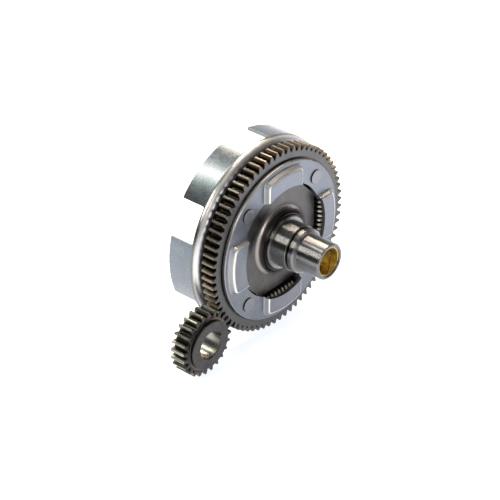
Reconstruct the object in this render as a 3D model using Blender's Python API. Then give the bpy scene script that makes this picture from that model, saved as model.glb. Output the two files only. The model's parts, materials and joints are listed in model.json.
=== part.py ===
"""Primary drive set of a small motorcycle clutch: driven gear, damped clutch basket and drive pinion.

The gear turns about the world Y axis. Its hub sleeve points along -Y, the clutch basket opens along +Y,
and the origin is on the axis, in the plane of the gear's front face. Every solid is modelled about its
own local Z axis, with +Z towards the hub end, under an empty that turns local +Z onto world -Y.
"""
import math

import bmesh
import bpy
from mathutils import Matrix, Vector

MM = 0.001

# Gear pair
MODULE = 1.75 * MM
PRESSURE_ANGLE = math.radians(20)
GEAR_TEETH = 72
PINION_TEETH = 24
ADDENDUM = 1.0 * MODULE
DEDENDUM = 1.25 * MODULE
BACKLASH = 0.3 * MM
GEAR_FACE_WIDTH = 9.5 * MM
PINION_FACE_WIDTH = 11.8 * MM
GEAR_FLANK_POINTS = 3
PINION_FLANK_POINTS = 4
CENTRE_DISTANCE = MODULE * (GEAR_TEETH + PINION_TEETH) / 2
PINION_DIRECTION = math.radians(-148.0)

# Gear blank: rim, web and boss
RIM_INNER_RADIUS = 56.6 * MM
WEB_FRONT = -0.5 * MM
WEB_THICKNESS = 5.0 * MM
WEB_BACK = WEB_FRONT - WEB_THICKNESS
BOSS_RADIUS = 19.9 * MM
BOSS_HEIGHT = 4.9 * MM
BOSS_FILLET_WIDTH = 7.5 * MM
RIM_BACK_DRAFT = 0.6 * MM

# Hub sleeve, from its front end back
SLEEVE_FRONT = 42.0 * MM
OUTER_JOURNAL_RADIUS = 12.45 * MM
LAND_FRONT = 23.6 * MM
LAND_RADIUS = 15.2 * MM
LAND_CHAMFER = 1.2 * MM
LAND_ROOT = 0.6 * MM
LAND_BACK = 19.4 * MM
GROOVE_RADIUS = 14.7 * MM
GROOVE_EDGE = 0.2 * MM
INNER_JOURNAL_FRONT = 17.7 * MM
INNER_JOURNAL_RADIUS = 15.75 * MM
COLLAR_FRONT = 6.6 * MM
COLLAR_RADIUS = 18.7 * MM
PILOT_RADIUS = 16.6 * MM
SLEEVE_BACK = -13.4 * MM
SLEEVE_CHAMFER = 0.5 * MM
BUSH_SEAT_RADIUS = 10.35 * MM
BUSH_SEAT_RUNOUT = 0.6 * MM
SLEEVE_RELIEF_RADIUS = 11.0 * MM

# Wrapped bushes
BUSH_OUTER_RADIUS = 10.25 * MM
BUSH_INNER_RADIUS = 9.1 * MM
BUSH_LENGTH = 15.9 * MM
BUSH_RECESS = 0.7 * MM
BUSH_SEAM_WIDTH = 0.35 * MM
BUSH_SEAM_DIRECTION = math.radians(-62.0)

# Cover plate with sprung pockets
PLATE_THICKNESS = 2.5 * MM
PLATE_BACK = WEB_FRONT + 0.4 * MM
PLATE_FRONT = PLATE_BACK + PLATE_THICKNESS
PLATE_OUTER_RADIUS = 55.5 * MM
PLATE_OPENING_RADIUS = 39.5 * MM
PLATE_EDGE_CHAMFER = 0.5 * MM
POCKET_CEILING = 3.6 * MM
POCKET_TOP = POCKET_CEILING + PLATE_THICKNESS
POCKET_OUTER_RADIUS = 52.7 * MM
POCKET_HALF_WIDTH = 17.8 * MM
POCKET_SIDE_DRAFT = 1.5 * MM
POCKET_END_DRAFT = 2.25 * MM
POCKET_CORNER = 4.0 * MM
POCKET_TOP_CORNER = 3.0 * MM
POCKET_INNER_RADIUS = 33.5 * MM
CAVITY_OUTER_RADIUS = 50.5 * MM
CAVITY_CORNER = 1.5 * MM

# Damper springs
SPRING_COUNT = 4
SPRING_ORBIT = 43.8 * MM
SPRING_PLANE = -2.2 * MM
SPRING_LENGTH = 30.4 * MM
SPRING_OUTER_RADIUS = 5.3 * MM
SPRING_WIRE_RADIUS = 0.95 * MM
SPRING_TURNS = 8.5
SPRING_STEPS_PER_TURN = 8
SPRING_WIRE_SIDES = 4
WINDOW_HALF_LENGTH = SPRING_LENGTH / 2 + 0.3 * MM
WEB_WINDOW_INNER = 36.2 * MM
WEB_WINDOW_OUTER = 50.4 * MM

# Rivets and their distance sleeves
RIVET_COUNT = 4
RIVET_ORBIT = 47.0 * MM
RIVET_SHANK_RADIUS = 2.7 * MM
RIVET_HEAD_RADIUS = 4.8 * MM
RIVET_TAIL_RADIUS = 4.2 * MM
RIVET_HEAD_THICKNESS = 0.6 * MM
RIVET_TAIL_THICKNESS = 1.4 * MM
RIVET_TAIL_CHAMFER = 0.8 * MM
SPACER_RADIUS = 4.2 * MM
WEB_HOLE_RADIUS = 8.5 * MM
WEB_HOLE_STRETCH = 5.0 * MM
GAP = 0.3 * MM

# Clutch basket
BASKET_SHEET = 2.2 * MM
BASKET_RADIUS = 66.5 * MM
BASKET_CORNER = 6.0 * MM
BASKET_SHOULDER = -12.3 * MM
BASKET_FLOOR_FRONT = WEB_BACK - 0.4 * MM
BASKET_FLOOR_BACK = BASKET_FLOOR_FRONT - BASKET_SHEET
BASKET_DISH_RADIUS = 53.4 * MM
BASKET_DISH_ROUNDING = 1.2 * MM
BASKET_DISH_DEPTH = 1.6 * MM
BASKET_DISH_INNER_ROUNDING = 0.9 * MM
BASKET_DISH_INNER_LIP = 0.4 * MM
BASKET_RAMP_WIDTH = 1.0 * MM
BASKET_LEDGE_CHAMFER = 1.6 * MM
BASKET_BORE_RADIUS = PILOT_RADIUS + GAP
BASKET_SEAT_INNER = 39.6 * MM
BASKET_SEAT_OUTER = 48.0 * MM
BASKET_SEAT_SKIN = 0.3 * MM
TAB_COUNT = 6
TAB_END = -35.5 * MM
TAB_DIRECTION = math.radians(63.0)
TAB_GAP_ANGLE = math.radians(22.0)
TAB_GAP_BOTTOM = -17.3 * MM
TAB_GAP_INNER_RADIUS = 58.5 * MM
TAB_GAP_OUTER_RADIUS = 70.5 * MM

# Pinion blank
PINION_FRONT = 1.5 * MM
PINION_BORE_RADIUS = 9.2 * MM
PINION_BORE_CHAMFER = 0.6 * MM
PINION_HUB_RADIUS = 17.0 * MM
PINION_HUB_HEIGHT = 2.6 * MM
PINION_HUB_CHAMFER = 0.6 * MM
KEYWAY_WIDTH = 3.6 * MM
KEYWAY_DEPTH = 1.6 * MM
KEYWAY_DIRECTION = math.radians(28.0)

# Facets round a full turn, or along an arc
BLANK_SEGMENTS = 64
SHEET_SEGMENTS = 72
SLEEVE_SEGMENTS = 36
HOLE_SEGMENTS = 24
SMALL_SEGMENTS = 16
ROUND_CORNER_STEPS = 4
POCKET_CORNER_STEPS = 3
POCKET_ARC_STEPS = 4
SHARP_ANGLE = math.radians(35)

# How far a cutter runs past the faces that it cuts
OVERRUN = 1.0 * MM


def clear_scene():
    for old in list(bpy.data.objects):
        bpy.data.objects.remove(old, do_unlink=True)


def principled(name, colour, metallic, roughness):
    material = bpy.data.materials.new(name)
    material.use_nodes = True
    shader = material.node_tree.nodes["Principled BSDF"]
    shader.inputs["Base Color"].default_value = (*colour, 1.0)
    shader.inputs["Metallic"].default_value = metallic
    shader.inputs["Roughness"].default_value = roughness
    return material


def axis_empty(name, location=(0.0, 0.0, 0.0)):
    """An empty on a joint's axis, which turns local +Z onto world -Y."""
    empty = bpy.data.objects.new(name, None)
    empty.rotation_euler = (math.pi / 2, 0.0, 0.0)
    empty.location = location
    bpy.context.scene.collection.objects.link(empty)
    return empty


def add_object(name, bm, axis, material=None, turn=0.0):
    """Make an object from a bmesh, parented to an axis and turned about it."""
    bmesh.ops.recalc_face_normals(bm, faces=bm.faces)
    mesh = bpy.data.meshes.new(name)
    bm.to_mesh(mesh)
    bm.free()
    mesh.shade_smooth()
    mesh.set_sharp_from_angle(angle=SHARP_ANGLE)
    obj = bpy.data.objects.new(name, mesh)
    obj.parent = axis
    obj.rotation_euler = (0.0, 0.0, turn)
    bpy.context.scene.collection.objects.link(obj)
    if material is not None:
        mesh.materials.append(material)
    return obj


def combine(target, tool, operation):
    """Boolean a hidden tool object into the target."""
    tool.hide_render = True
    tool.display_type = "WIRE"
    modifier = target.modifiers.new(tool.name, "BOOLEAN")
    modifier.operation = operation
    modifier.solver = "EXACT"
    modifier.object = tool


def on_circle(radius, angle, height=0.0):
    return Vector((radius * math.cos(angle), radius * math.sin(angle), height))


def ring(bm, radius, height, segments):
    """One circle of vertices, or a single vertex where it meets the axis."""
    if radius == 0.0:
        return [bm.verts.new((0.0, 0.0, height))]
    return [bm.verts.new(on_circle(radius, math.tau * i / segments, height)) for i in range(segments)]


def bridge(bm, first, second):
    """Faces between two rings of the same count, or from a ring to a single vertex."""
    count = max(len(first), len(second))
    for i in range(count):
        j = (i + 1) % count
        near = [first[i % len(first)], first[j % len(first)]]
        far = [second[j % len(second)], second[i % len(second)]]
        bm.faces.new(list(dict.fromkeys(near + far)))


def turned(profile, segments):
    """A closed outline of (radius, height) points, turned about Z.

    An outline that starts and ends on the axis is left open there, because its end rings are points.
    """
    bm = bmesh.new()
    rings = [ring(bm, radius, height, segments) for radius, height in profile]
    solid_core = profile[0][0] == 0.0 and profile[-1][0] == 0.0
    pairs = list(zip(rings, rings[1:]))
    if not solid_core:
        pairs.append((rings[-1], rings[0]))
    for first, second in pairs:
        bridge(bm, first, second)
    return bm


def add_prism(bm, bottom, top):
    """A closed solid between two outlines of the same point count."""
    low = [bm.verts.new(point) for point in bottom]
    high = [bm.verts.new(point) for point in top]
    bridge(bm, low, high)
    bm.faces.new(list(reversed(low)))
    bm.faces.new(high)


def repeated_prisms(outline_bottom, outline_top, count, start=0.0):
    """Copies of one prism, evenly spaced about Z."""
    bm = bmesh.new()
    for i in range(count):
        turn = Matrix.Rotation(start + math.tau * i / count, 3, "Z")
        add_prism(bm, [turn @ p for p in outline_bottom], [turn @ p for p in outline_top])
    return bm


def rectangle(x_low, x_high, half_width, height):
    return [Vector((x_low, -half_width, height)), Vector((x_high, -half_width, height)),
            Vector((x_high, half_width, height)), Vector((x_low, half_width, height))]


def disc(centre_radius, radius, height, segments=HOLE_SEGMENTS):
    centre = Vector((centre_radius, 0.0, height))
    return [centre + on_circle(radius, math.tau * i / segments) for i in range(segments)]


def slot(centre_radius, radius, stretch, height, half_segments=HOLE_SEGMENTS // 2):
    """A round-ended hole, drawn out both ways round the axis."""
    points = []
    for side, start in ((1, 0.0), (-1, math.pi)):
        centre = Vector((centre_radius, side * stretch, height))
        points += [centre + on_circle(radius, start + math.pi * i / half_segments)
                   for i in range(half_segments + 1)]
    return points


def involute(angle):
    return math.tan(angle) - angle


def tooth_outline(teeth, flank_points, phase):
    """The spur gear's outline: straight root gaps and involute flanks, thinned for backlash."""
    pitch_radius = MODULE * teeth / 2
    base_radius = pitch_radius * math.cos(PRESSURE_ANGLE)
    root_radius = pitch_radius - DEDENDUM
    tip_radius = pitch_radius + ADDENDUM
    half_tooth = math.pi / (2 * teeth) - BACKLASH / (4 * pitch_radius)

    def half_angle(radius):
        reach = math.acos(min(1.0, base_radius / radius))
        return half_tooth + involute(PRESSURE_ANGLE) - involute(reach)

    step = (tip_radius - root_radius) / (flank_points - 1)
    radii = [root_radius + step * i for i in range(flank_points)]
    outline = []
    for tooth in range(teeth):
        centre = phase + math.tau * tooth / teeth
        outline += [on_circle(r, centre - half_angle(r)) for r in radii]
        outline += [on_circle(r, centre + half_angle(r)) for r in reversed(radii)]
    return outline


def toothed_body(outline, front, back, profile, segments):
    """A toothed rim whose two end faces run in to a turned profile through its bore.

    The profile runs from the front face's inner edge, through the bore, to the back face's inner edge.
    """
    bm = bmesh.new()
    front_loop = [bm.verts.new((p.x, p.y, front)) for p in outline]
    back_loop = [bm.verts.new((p.x, p.y, back)) for p in outline]
    bridge(bm, back_loop, front_loop)
    rings = [ring(bm, radius, height, segments) for radius, height in profile]
    for first, second in zip(rings, rings[1:]):
        bridge(bm, first, second)
    for outer, inner, side in ((front_loop, rings[0], 1.0), (back_loop, rings[-1], -1.0)):
        edges = [bm.edges.get((loop[i - 1], loop[i])) for loop in (outer, inner) for i in range(len(loop))]
        bmesh.ops.triangle_fill(bm, use_beauty=True, edges=edges, normal=(0.0, 0.0, side))
    return bm


def quarter(centre, radii, start, steps):
    """Points on a quarter ellipse in the profile plane, from a start angle, anticlockwise or clockwise."""
    points = []
    for i in range(abs(steps) + 1):
        angle = start + math.copysign(math.pi / 2, steps) * i / abs(steps)
        points.append((centre[0] + radii[0] * math.cos(angle), centre[1] + radii[1] * math.sin(angle)))
    return points


def make_driven_gear(axis, steel):
    fillet_centre = (BOSS_RADIUS + BOSS_FILLET_WIDTH, BOSS_HEIGHT)
    fillet_radii = (BOSS_FILLET_WIDTH, BOSS_HEIGHT - WEB_FRONT)
    profile = [(RIM_INNER_RADIUS, 0.0), (RIM_INNER_RADIUS, WEB_FRONT)]
    profile += quarter(fillet_centre, fillet_radii, math.radians(270), -ROUND_CORNER_STEPS)
    profile += [(COLLAR_RADIUS + GAP, BOSS_HEIGHT), (COLLAR_RADIUS + GAP, WEB_BACK)]
    profile += [(RIM_INNER_RADIUS - RIM_BACK_DRAFT, WEB_BACK),
                (RIM_INNER_RADIUS + RIM_BACK_DRAFT, -GEAR_FACE_WIDTH)]
    outline = tooth_outline(GEAR_TEETH, GEAR_FLANK_POINTS, PINION_DIRECTION)
    bm = toothed_body(outline, 0.0, -GEAR_FACE_WIDTH, profile, BLANK_SEGMENTS)
    gear = add_object("driven_gear", bm, axis, steel)

    below, above = WEB_BACK - OVERRUN, WEB_FRONT + OVERRUN
    window = [rectangle(WEB_WINDOW_INNER, WEB_WINDOW_OUTER, WINDOW_HALF_LENGTH, z) for z in (below, above)]
    windows = add_object("spring_window_cutter", repeated_prisms(*window, SPRING_COUNT), axis)
    combine(gear, windows, "DIFFERENCE")
    hole = [slot(RIVET_ORBIT, WEB_HOLE_RADIUS, WEB_HOLE_STRETCH, z) for z in (below, above)]
    holes = add_object("spacer_hole_cutter", repeated_prisms(*hole, RIVET_COUNT, math.pi / 4), axis)
    combine(gear, holes, "DIFFERENCE")


def make_hub_sleeve(axis, steel):
    chamfer = SLEEVE_CHAMFER
    bush_seat = BUSH_RECESS + BUSH_LENGTH + BUSH_SEAT_RUNOUT
    profile = [
        (BUSH_SEAT_RADIUS, SLEEVE_FRONT),
        (OUTER_JOURNAL_RADIUS - chamfer, SLEEVE_FRONT),
        (OUTER_JOURNAL_RADIUS, SLEEVE_FRONT - chamfer),
        (OUTER_JOURNAL_RADIUS, LAND_FRONT + LAND_ROOT),
        (LAND_RADIUS - LAND_CHAMFER, LAND_FRONT),
        (LAND_RADIUS, LAND_FRONT - LAND_CHAMFER),
        (LAND_RADIUS, LAND_BACK),
        (GROOVE_RADIUS, LAND_BACK - GROOVE_EDGE),
        (GROOVE_RADIUS, INNER_JOURNAL_FRONT + GROOVE_EDGE),
        (INNER_JOURNAL_RADIUS, INNER_JOURNAL_FRONT),
        (INNER_JOURNAL_RADIUS, COLLAR_FRONT + chamfer),
        (INNER_JOURNAL_RADIUS + chamfer, COLLAR_FRONT),
        (COLLAR_RADIUS - chamfer, COLLAR_FRONT),
        (COLLAR_RADIUS, COLLAR_FRONT - chamfer),
        (COLLAR_RADIUS, WEB_BACK),
        (PILOT_RADIUS, WEB_BACK),
        (PILOT_RADIUS, SLEEVE_BACK + chamfer),
        (PILOT_RADIUS - chamfer, SLEEVE_BACK),
        (BUSH_SEAT_RADIUS, SLEEVE_BACK),
        (BUSH_SEAT_RADIUS, SLEEVE_BACK + bush_seat),
        (SLEEVE_RELIEF_RADIUS, SLEEVE_BACK + bush_seat + chamfer),
        (SLEEVE_RELIEF_RADIUS, SLEEVE_FRONT - bush_seat - chamfer),
        (BUSH_SEAT_RADIUS, SLEEVE_FRONT - bush_seat),
    ]
    add_object("hub_sleeve", turned(profile, SLEEVE_SEGMENTS), axis, steel)


def make_bush(name, axis, bronze, back):
    """A wrapped bush: a rolled strip whose ends leave a narrow seam."""
    front = back + BUSH_LENGTH
    profile = [(BUSH_INNER_RADIUS, back), (BUSH_INNER_RADIUS, front),
               (BUSH_OUTER_RADIUS, front), (BUSH_OUTER_RADIUS, back)]
    bush = add_object(name, turned(profile, SLEEVE_SEGMENTS), axis, bronze)
    slit = [rectangle(BUSH_INNER_RADIUS - OVERRUN, BUSH_OUTER_RADIUS + OVERRUN, BUSH_SEAM_WIDTH / 2, z)
            for z in (back - OVERRUN, front + OVERRUN)]
    cutter = add_object(name + "_seam_cutter", repeated_prisms(*slit, 1, BUSH_SEAM_DIRECTION), axis)
    combine(bush, cutter, "DIFFERENCE")


def pocket_outline(half_width, outer_radius, corner, height):
    """A pocket seen along the axis: straight sides, an outer edge on a circle and two rounded corners."""
    corner_x = math.sqrt((outer_radius - corner) ** 2 - (half_width - corner) ** 2)
    lean = math.atan2(half_width - corner, corner_x)
    right = []
    for i in range(POCKET_CORNER_STEPS + 1):
        angle = -math.pi / 2 + (math.pi / 2 - lean) * i / POCKET_CORNER_STEPS
        right.append(Vector((corner_x, corner - half_width, height)) + on_circle(corner, angle))
    arc = [on_circle(outer_radius, -lean + 2 * lean * i / POCKET_ARC_STEPS, height)
           for i in range(1, POCKET_ARC_STEPS)]
    left = [Vector((p.x, -p.y, p.z)) for p in reversed(right)]
    inner = [Vector((POCKET_INNER_RADIUS, side * half_width, height)) for side in (-1, 1)]
    return [inner[0]] + right + arc + left + [inner[1]]


def make_cover_plate(axis, zinc):
    edge = PLATE_EDGE_CHAMFER
    opening = PLATE_OPENING_RADIUS
    profile = [(opening, PLATE_BACK), (PLATE_OUTER_RADIUS, PLATE_BACK),
               (PLATE_OUTER_RADIUS, PLATE_FRONT - edge), (PLATE_OUTER_RADIUS - edge, PLATE_FRONT),
               (opening, PLATE_FRONT)]
    plate = add_object("cover_plate", turned(profile, SHEET_SEGMENTS), axis, zinc)

    shell = [pocket_outline(POCKET_HALF_WIDTH, POCKET_OUTER_RADIUS, POCKET_CORNER, PLATE_FRONT - OVERRUN),
             pocket_outline(POCKET_HALF_WIDTH - POCKET_SIDE_DRAFT, POCKET_OUTER_RADIUS - POCKET_END_DRAFT,
                            POCKET_TOP_CORNER, POCKET_TOP)]
    shells = add_object("pocket_shell_tool", repeated_prisms(*shell, SPRING_COUNT), axis)
    combine(plate, shells, "UNION")

    cavity = [pocket_outline(WINDOW_HALF_LENGTH, CAVITY_OUTER_RADIUS, CAVITY_CORNER, z)
              for z in (PLATE_BACK - OVERRUN, POCKET_CEILING)]
    cavities = add_object("pocket_cavity_cutter", repeated_prisms(*cavity, SPRING_COUNT), axis)
    combine(plate, cavities, "DIFFERENCE")

    bore = [disc(0.0, opening, z, SHEET_SEGMENTS) for z in (PLATE_BACK - 2 * OVERRUN, POCKET_TOP + OVERRUN)]
    combine(plate, add_object("cover_bore_cutter", repeated_prisms(*bore, 1), axis), "DIFFERENCE")

    hole = [disc(RIVET_ORBIT, RIVET_SHANK_RADIUS + GAP, z, SMALL_SEGMENTS)
            for z in (PLATE_BACK - OVERRUN, PLATE_FRONT + OVERRUN)]
    holes = add_object("cover_rivet_hole_cutter", repeated_prisms(*hole, RIVET_COUNT, math.pi / 4), axis)
    combine(plate, holes, "DIFFERENCE")


def make_clutch_basket(axis, sheet_steel):
    sheet = BASKET_SHEET
    corner_centre = (BASKET_RADIUS - BASKET_CORNER, BASKET_SHOULDER - BASKET_CORNER)
    inner_corner = BASKET_CORNER - sheet
    ramp_top = BASKET_DISH_RADIUS + BASKET_DISH_ROUNDING
    ramp_foot = ramp_top + BASKET_RAMP_WIDTH
    inner_top = ramp_top - sheet
    profile = [
        (BASKET_BORE_RADIUS, BASKET_FLOOR_FRONT),
        (BASKET_DISH_RADIUS, BASKET_FLOOR_FRONT),
        (ramp_top, BASKET_FLOOR_FRONT - BASKET_DISH_DEPTH),
        (ramp_foot, BASKET_SHOULDER + BASKET_LEDGE_CHAMFER),
        (ramp_foot + BASKET_LEDGE_CHAMFER, BASKET_SHOULDER),
    ]
    profile += quarter(corner_centre, (BASKET_CORNER, BASKET_CORNER), math.pi / 2, -ROUND_CORNER_STEPS)
    profile += [(BASKET_RADIUS, TAB_END), (BASKET_RADIUS - sheet, TAB_END)]
    profile += quarter(corner_centre, (inner_corner, inner_corner), 0.0, ROUND_CORNER_STEPS - 1)
    profile += [
        (ramp_foot, BASKET_SHOULDER - sheet),
        (inner_top, BASKET_SHOULDER - BASKET_DISH_INNER_LIP),
        (inner_top - BASKET_DISH_INNER_ROUNDING, BASKET_FLOOR_BACK),
        (BASKET_BORE_RADIUS, BASKET_FLOOR_BACK),
    ]
    basket = add_object("clutch_basket", turned(profile, SHEET_SEGMENTS), axis, sheet_steel)

    half_gap = (BASKET_RADIUS - sheet / 2) * math.tan(TAB_GAP_ANGLE / 2)
    gap = [rectangle(TAB_GAP_INNER_RADIUS, TAB_GAP_OUTER_RADIUS, half_gap, z)
           for z in (TAB_END - OVERRUN, TAB_GAP_BOTTOM)]
    gap_direction = TAB_DIRECTION + math.pi / TAB_COUNT
    gaps = add_object("tab_gap_cutter", repeated_prisms(*gap, TAB_COUNT, gap_direction), axis)
    combine(basket, gaps, "DIFFERENCE")

    below, above = BASKET_FLOOR_BACK - OVERRUN, BASKET_FLOOR_FRONT + OVERRUN
    seat = [rectangle(BASKET_SEAT_INNER, BASKET_SEAT_OUTER, WINDOW_HALF_LENGTH, z)
            for z in (BASKET_FLOOR_BACK + BASKET_SEAT_SKIN, above)]
    seats = add_object("spring_seat_cutter", repeated_prisms(*seat, SPRING_COUNT), axis)
    combine(basket, seats, "DIFFERENCE")
    hole = [disc(RIVET_ORBIT, RIVET_SHANK_RADIUS + GAP, z, SMALL_SEGMENTS) for z in (below, above)]
    holes = add_object("basket_rivet_hole_cutter", repeated_prisms(*hole, RIVET_COUNT, math.pi / 4), axis)
    combine(basket, holes, "DIFFERENCE")


def make_rivets_and_spacers(axis, rivet_steel, spacer_steel):
    head_under = PLATE_FRONT + GAP
    head_top = head_under + RIVET_HEAD_THICKNESS
    tail_under = BASKET_FLOOR_BACK - GAP
    tail_end = tail_under - RIVET_TAIL_THICKNESS
    rivet = [(0.0, head_top), (RIVET_HEAD_RADIUS, head_top), (RIVET_HEAD_RADIUS, head_under),
             (RIVET_SHANK_RADIUS, head_under), (RIVET_SHANK_RADIUS, tail_under),
             (RIVET_TAIL_RADIUS, tail_under), (RIVET_TAIL_RADIUS - RIVET_TAIL_CHAMFER, tail_end),
             (0.0, tail_end)]
    front, back = PLATE_BACK - GAP, BASKET_FLOOR_FRONT + GAP
    spacer = [(RIVET_SHANK_RADIUS + GAP, back), (RIVET_SHANK_RADIUS + GAP, front),
              (SPACER_RADIUS, front), (SPACER_RADIUS, back)]
    for i in range(RIVET_COUNT):
        place = on_circle(RIVET_ORBIT, math.pi / 4 + math.tau * i / RIVET_COUNT)
        for name, profile, steel in (("rivet", rivet, rivet_steel), ("spacer", spacer, spacer_steel)):
            obj = add_object(f"{name}_{i + 1}", turned(profile, SMALL_SEGMENTS), axis, steel)
            obj.location = place


def make_damper_springs(axis, spring_steel):
    coil_radius = SPRING_OUTER_RADIUS - SPRING_WIRE_RADIUS
    steps = round(SPRING_TURNS * SPRING_STEPS_PER_TURN)
    travel = SPRING_LENGTH - 2 * SPRING_WIRE_RADIUS
    for number in range(SPRING_COUNT):
        bm = bmesh.new()
        sections = []
        for i in range(steps + 1):
            angle = math.tau * i / SPRING_STEPS_PER_TURN
            outward = Vector((math.cos(angle), 0.0, math.sin(angle)))
            centre = outward * coil_radius + Vector((0.0, travel * (i / steps - 0.5), 0.0))
            section = []
            for side in range(SPRING_WIRE_SIDES):
                swing = math.tau * (side + 0.5) / SPRING_WIRE_SIDES
                offset = outward * math.cos(swing) + Vector((0.0, math.sin(swing), 0.0))
                section.append(bm.verts.new(centre + offset * SPRING_WIRE_RADIUS))
            sections.append(section)
        for first, second in zip(sections, sections[1:]):
            bridge(bm, first, second)
        bm.faces.new(sections[0])
        bm.faces.new(sections[-1])
        bmesh.ops.translate(bm, vec=(SPRING_ORBIT, 0.0, SPRING_PLANE), verts=bm.verts)
        turn = math.tau * number / SPRING_COUNT
        add_object(f"damper_spring_{number + 1}", bm, axis, spring_steel, turn)


def make_pinion(axis, steel):
    front, back = PINION_FRONT, PINION_FRONT - PINION_FACE_WIDTH
    hub_front = front + PINION_HUB_HEIGHT
    bore, chamfer = PINION_BORE_RADIUS, PINION_BORE_CHAMFER
    profile = [(PINION_HUB_RADIUS, front), (PINION_HUB_RADIUS, hub_front - PINION_HUB_CHAMFER),
               (PINION_HUB_RADIUS - PINION_HUB_CHAMFER, hub_front),
               (bore + chamfer, hub_front), (bore, hub_front - chamfer),
               (bore, back + chamfer), (bore + chamfer, back)]
    half_pitch = math.pi / PINION_TEETH
    phase = PINION_DIRECTION + math.pi + half_pitch
    outline = tooth_outline(PINION_TEETH, PINION_FLANK_POINTS, phase)
    pinion = add_object("pinion", toothed_body(outline, front, back, profile, SLEEVE_SEGMENTS), axis, steel)

    keyway = [rectangle(bore - OVERRUN, bore + KEYWAY_DEPTH, KEYWAY_WIDTH / 2, z)
              for z in (back - OVERRUN, hub_front + OVERRUN)]
    cutter = add_object("keyway_cutter", repeated_prisms(*keyway, 1, KEYWAY_DIRECTION), axis)
    combine(pinion, cutter, "DIFFERENCE")


def build():
    clear_scene()
    gear_steel = principled("gear_steel", (0.13, 0.13, 0.135), 0.9, 0.45)
    ground_steel = principled("ground_steel", (0.55, 0.54, 0.51), 1.0, 0.18)
    sheet_steel = principled("sheet_steel", (0.42, 0.44, 0.46), 0.9, 0.35)
    zinc = principled("zinc_plate", (0.36, 0.38, 0.43), 0.8, 0.42)
    spring_steel = principled("spring_steel", (0.20, 0.19, 0.18), 0.9, 0.35)
    bronze = principled("bronze", (0.60, 0.36, 0.06), 1.0, 0.28)

    gear_axis = axis_empty("gear_axis")
    make_driven_gear(gear_axis, gear_steel)
    make_hub_sleeve(gear_axis, ground_steel)
    make_bush("front_bush", gear_axis, bronze, SLEEVE_FRONT - BUSH_RECESS - BUSH_LENGTH)
    make_bush("rear_bush", gear_axis, bronze, SLEEVE_BACK + BUSH_RECESS)
    make_cover_plate(gear_axis, zinc)
    make_clutch_basket(gear_axis, sheet_steel)
    make_rivets_and_spacers(gear_axis, zinc, ground_steel)
    make_damper_springs(gear_axis, spring_steel)

    pinion_place = on_circle(CENTRE_DISTANCE, PINION_DIRECTION)
    pinion_axis = axis_empty("pinion_axis", (pinion_place.x, 0.0, pinion_place.y))
    make_pinion(pinion_axis, gear_steel)


build()
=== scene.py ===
"""Looks of the clutch basket primary gear set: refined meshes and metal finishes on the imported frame."""

import json
import math

import bmesh
import bpy
from mathutils import Matrix, Vector


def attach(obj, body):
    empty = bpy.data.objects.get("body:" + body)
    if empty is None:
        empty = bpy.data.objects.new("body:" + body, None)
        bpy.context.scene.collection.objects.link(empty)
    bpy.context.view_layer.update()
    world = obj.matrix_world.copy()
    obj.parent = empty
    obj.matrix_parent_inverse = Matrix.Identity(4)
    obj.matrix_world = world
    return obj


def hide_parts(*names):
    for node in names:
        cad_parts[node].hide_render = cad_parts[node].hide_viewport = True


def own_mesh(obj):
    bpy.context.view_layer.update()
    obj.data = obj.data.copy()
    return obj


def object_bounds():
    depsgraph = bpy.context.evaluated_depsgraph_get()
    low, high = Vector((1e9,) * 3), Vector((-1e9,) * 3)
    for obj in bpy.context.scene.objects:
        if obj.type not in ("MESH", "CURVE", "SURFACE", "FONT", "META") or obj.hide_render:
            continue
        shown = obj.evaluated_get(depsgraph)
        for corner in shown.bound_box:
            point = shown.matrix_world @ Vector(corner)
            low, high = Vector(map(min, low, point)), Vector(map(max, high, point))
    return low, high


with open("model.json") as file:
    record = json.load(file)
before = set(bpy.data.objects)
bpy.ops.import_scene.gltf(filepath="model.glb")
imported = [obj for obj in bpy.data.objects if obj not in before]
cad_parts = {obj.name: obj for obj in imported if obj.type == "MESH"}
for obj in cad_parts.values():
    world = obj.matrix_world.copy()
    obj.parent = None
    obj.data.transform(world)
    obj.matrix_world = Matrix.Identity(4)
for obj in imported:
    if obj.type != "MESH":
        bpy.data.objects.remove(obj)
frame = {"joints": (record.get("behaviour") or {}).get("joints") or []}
cad_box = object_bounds()

MM = 0.001

# Gear pair
MODULE = 1.75 * MM
PRESSURE_ANGLE = math.radians(20)
GEAR_TEETH = 72
PINION_TEETH = 24
ADDENDUM = 1.0 * MODULE
DEDENDUM = 1.25 * MODULE
BACKLASH = 0.3 * MM
GEAR_FACE_WIDTH = 9.5 * MM
PINION_FACE_WIDTH = 11.8 * MM
PINION_DIRECTION = math.radians(-148.0)
GEAR_ROOT_FILLET = 0.35 * MM
PINION_ROOT_FILLET = 0.7 * MM
TIP_ROUNDING = 0.12 * MM
TOOTH_END_CHAMFER = 0.35 * MM
FACE_MARGIN = 0.7 * MM

# Gear blank
RIM_INNER_RADIUS = 56.6 * MM
RIM_BACK_DRAFT = 0.6 * MM
WEB_FRONT = -0.5 * MM
WEB_BACK = -5.5 * MM
BOSS_RADIUS = 19.9 * MM
BOSS_HEIGHT = 4.9 * MM
BOSS_FILLET_WIDTH = 7.5 * MM

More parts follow.
